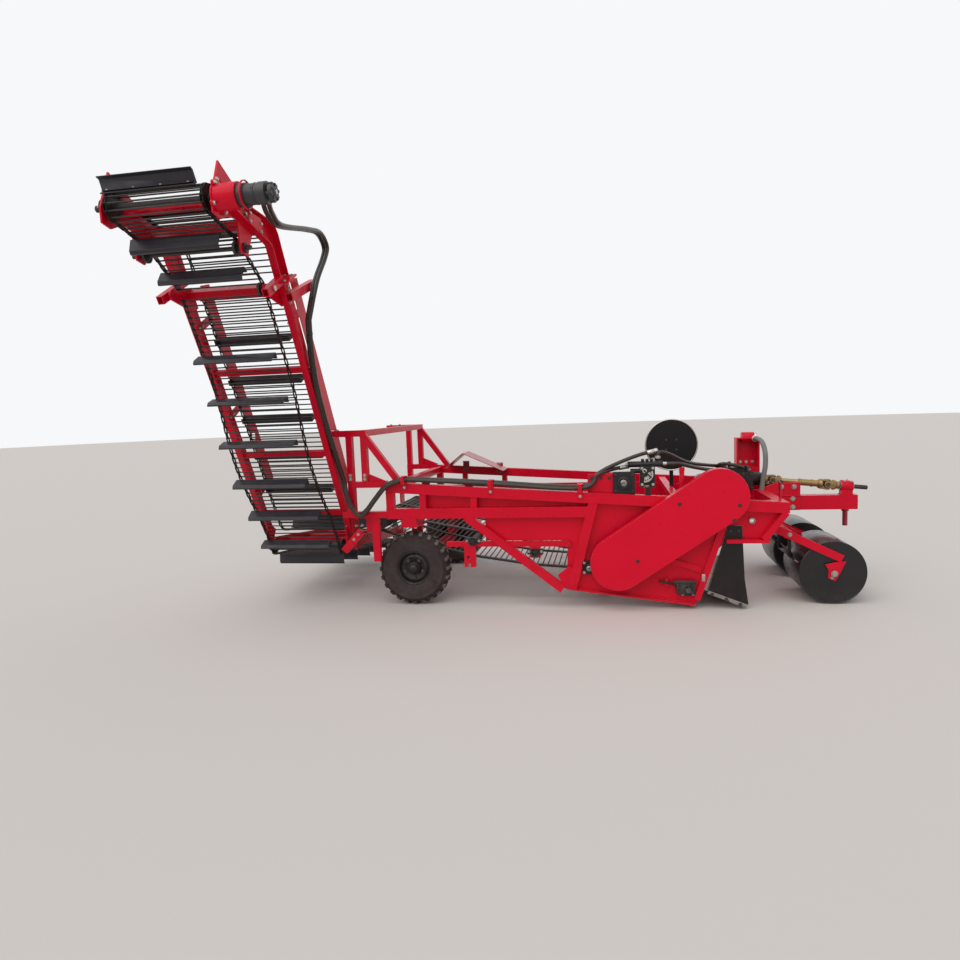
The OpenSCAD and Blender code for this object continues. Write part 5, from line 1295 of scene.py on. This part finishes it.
turn_on(motor, [(0, 0), (13, 0), (14, 2), (14, 6), (10, 8), (5, 8), (4, 5), (0, 5)],
        spot(tip_place, -234), forward, material=2)
for x in (-345, -325, -305, -285):
    turn_on(motor, [(57, -3), (60, -2), (60, 2), (57, 3)], spot(tip_place, x), forward, sides=56,
            closed=True)
for x in (-347, -313):
    add_rod(motor, spot(at_tip(-56, 0), x), spot(at_tip(-76, 2), x), 19, 2, 6, 2)
    add_rod(motor, spot(at_tip(-50, 0), x), spot(at_tip(-58, 0), x), 23, 2, 28, 0)
piece("motor_details", motor, [motor_black, dark_bolt, plated], "head")

# Hoses, clips and bands.
# Two brown black hydraulic hoses, moulded smooth. They lie side by side in red clips on the rail,
# loop in front of the tail, are banded up the leg and arc over the fold to the motor.
ease("hose_clips", 0.0012, red, edge_highlight_and_chips)
hose_radius, half_spacing = 14.5, 0.0172


def hose_route(places, first, last, side):
    """One hose of the pair: its middle line, moved a little to a side that turns along the way."""
    count = len(places) - 1
    return [at(*place) + Vector(first).lerp(Vector(last), k / count) * side * half_spacing
            for k, place in enumerate(places)]


leg_places = [(1683, -750, 1090), (1620, -800, 1090), (1500, -888, 1020)]
leg_places += [(x, y, rail_top(x) + 36) for x, y in ((1344, -876), (661, -862), (60, -883), (-22, -911))]
leg_places += [(-78, -930, 1012), (-165, -930, 975), (-262, -930, 868), (-330, -930, 785),
               (-393, -930, 748), (-450, -930, 800), (-490, -930, 920), (-512, -930, 1048),
               (-519, -1080, 1298), (-519, -1232, 1549), (-519, -1350, 1800), (-512, -1415, 2010),
               (-505, -1442, 2216)]
leg_hoses, leg_bands = bmesh.new(), bmesh.new()
for side in (-1, 1):
    route = hose_route(leg_places, (0, -0.9, -0.45), (1, -1, 0), side)
    # The two hoses start apart at the valve and meet before the first clip.
    if side > 0:
        route[:3] = [at(1880, -738, 1182), at(1790, -760, 1163), at(1640, -806, 1112), at(1490, -856, 1043)]
    else:
        route[:3] = [at(1668, -762, 1072), at(1590, -806, 1062), at(1480, -868, 1030)]
    add_hose(leg_hoses, route, hose_radius)
    start, aim = route[0], (route[0] - route[1]).normalized()
    add_rod(leg_hoses, start + aim * 0.028, start - aim * 0.035, 17.5, 1.5, 28, 1)
    add_rod(leg_hoses, start + aim * 0.046, start + aim * 0.022, 20, 1.5, 6, 1)
made = piece("leg_hoses", leg_hoses, [hose_brown, plated], "chassis", smooth=80)
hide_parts("hose_leg")


def add_band(shape, middle, aim, across, reach=17, thick=16.4, wide=18):
    """A flat band round both hoses."""
    beside = (across - aim * across.dot(aim)).normalized()
    over = aim.cross(beside)
    part = bmesh.new()
    ring = []
    for side in (1, -1):
        for k in range(9):
            a = math.radians(-90 + k * 22.5)
            flat = beside * (reach + thick * math.cos(a)) + over * thick * math.sin(a)
            ring.append(part.verts.new(flat * side / 1000 - aim * wide / 2000))
    face = part.faces.new(ring)
    grown = bmesh.ops.extrude_face_region(part, geom=[face])["geom"]
    moved = [item for item in grown if isinstance(item, bmesh.types.BMVert)]
    bmesh.ops.translate(part, vec=aim * wide / 1000, verts=moved)
    add_part(shape, part, Matrix.Translation(middle))


middle_path = bend_through([at(*place) for place in leg_places], hose_steps)


def aim_near(k):
    """The way the pair of hoses runs at a point of its path."""
    return (middle_path[k + 1] - middle_path[k - 1]).normalized()


for height in (1890, 1262, 2120):
    k = min(range(110, len(middle_path)), key=lambda n: abs(middle_path[n].z * 1000 - height))
    share_way = k / hose_steps / (len(leg_places) - 1)
    across = (-sideways).lerp(forward - sideways, share_way)
    add_band(leg_bands, middle_path[k], aim_near(k), across, reach=17 * across.length)
tail = 12 * hose_steps + 2
add_band(leg_bands, middle_path[tail], aim_near(tail), Vector((0.55, -1, 0)), reach=19)
clip_shape = bmesh.new()
for x, y in ((-22, -911), (661, -862), (1344, -876)):
    top = rail_top(x)
    block(clip_shape, (x - 22, -897, top - 52), (x + 22, -891, top + 62), 1.5)
    block(clip_shape, (x - 22, -905, top + 56), (x + 22, y + 30, top + 62), 1.5)
    block(clip_shape, (x - 22, y + 26, top + 4), (x + 22, y + 32, top + 62), 1.5)
    add_bolt(leg_bands, at(x, -898, top - 30), -sideways, 17, material=1)
piece("hose_saddles", clip_shape, [red], "chassis")
band_black = finish("black band", (0.02, 0.018, 0.018), (0.03, 0.028, 0.028), 0.4, dusty=0.15)
piece("hose_bands", leg_bands, [band_black, zinc], "chassis", smooth=50)
loop_places = [(-505, -1442, 2216), (-470, -1427, 2378), (-460, -1353, 2523), (-452, -1225, 2680),
               (-450, -1183, 2773), (-435, -1332, 2834), (-420, -1572, 2803), (-400, -2033, 2717),
               (-370, -2227, 2737), (-330, tip_place.x + 64, tip_place.y - 20)]
loop_hoses = bmesh.new()
for side in (-1, 1):
    add_hose(loop_hoses, hose_route(loop_places, (1, -1, 0), (1, 0, 0), side), hose_radius)
made = piece("loop_hoses", loop_hoses, [hose_brown], None, smooth=80)
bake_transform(made)
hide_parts("hose_loop")
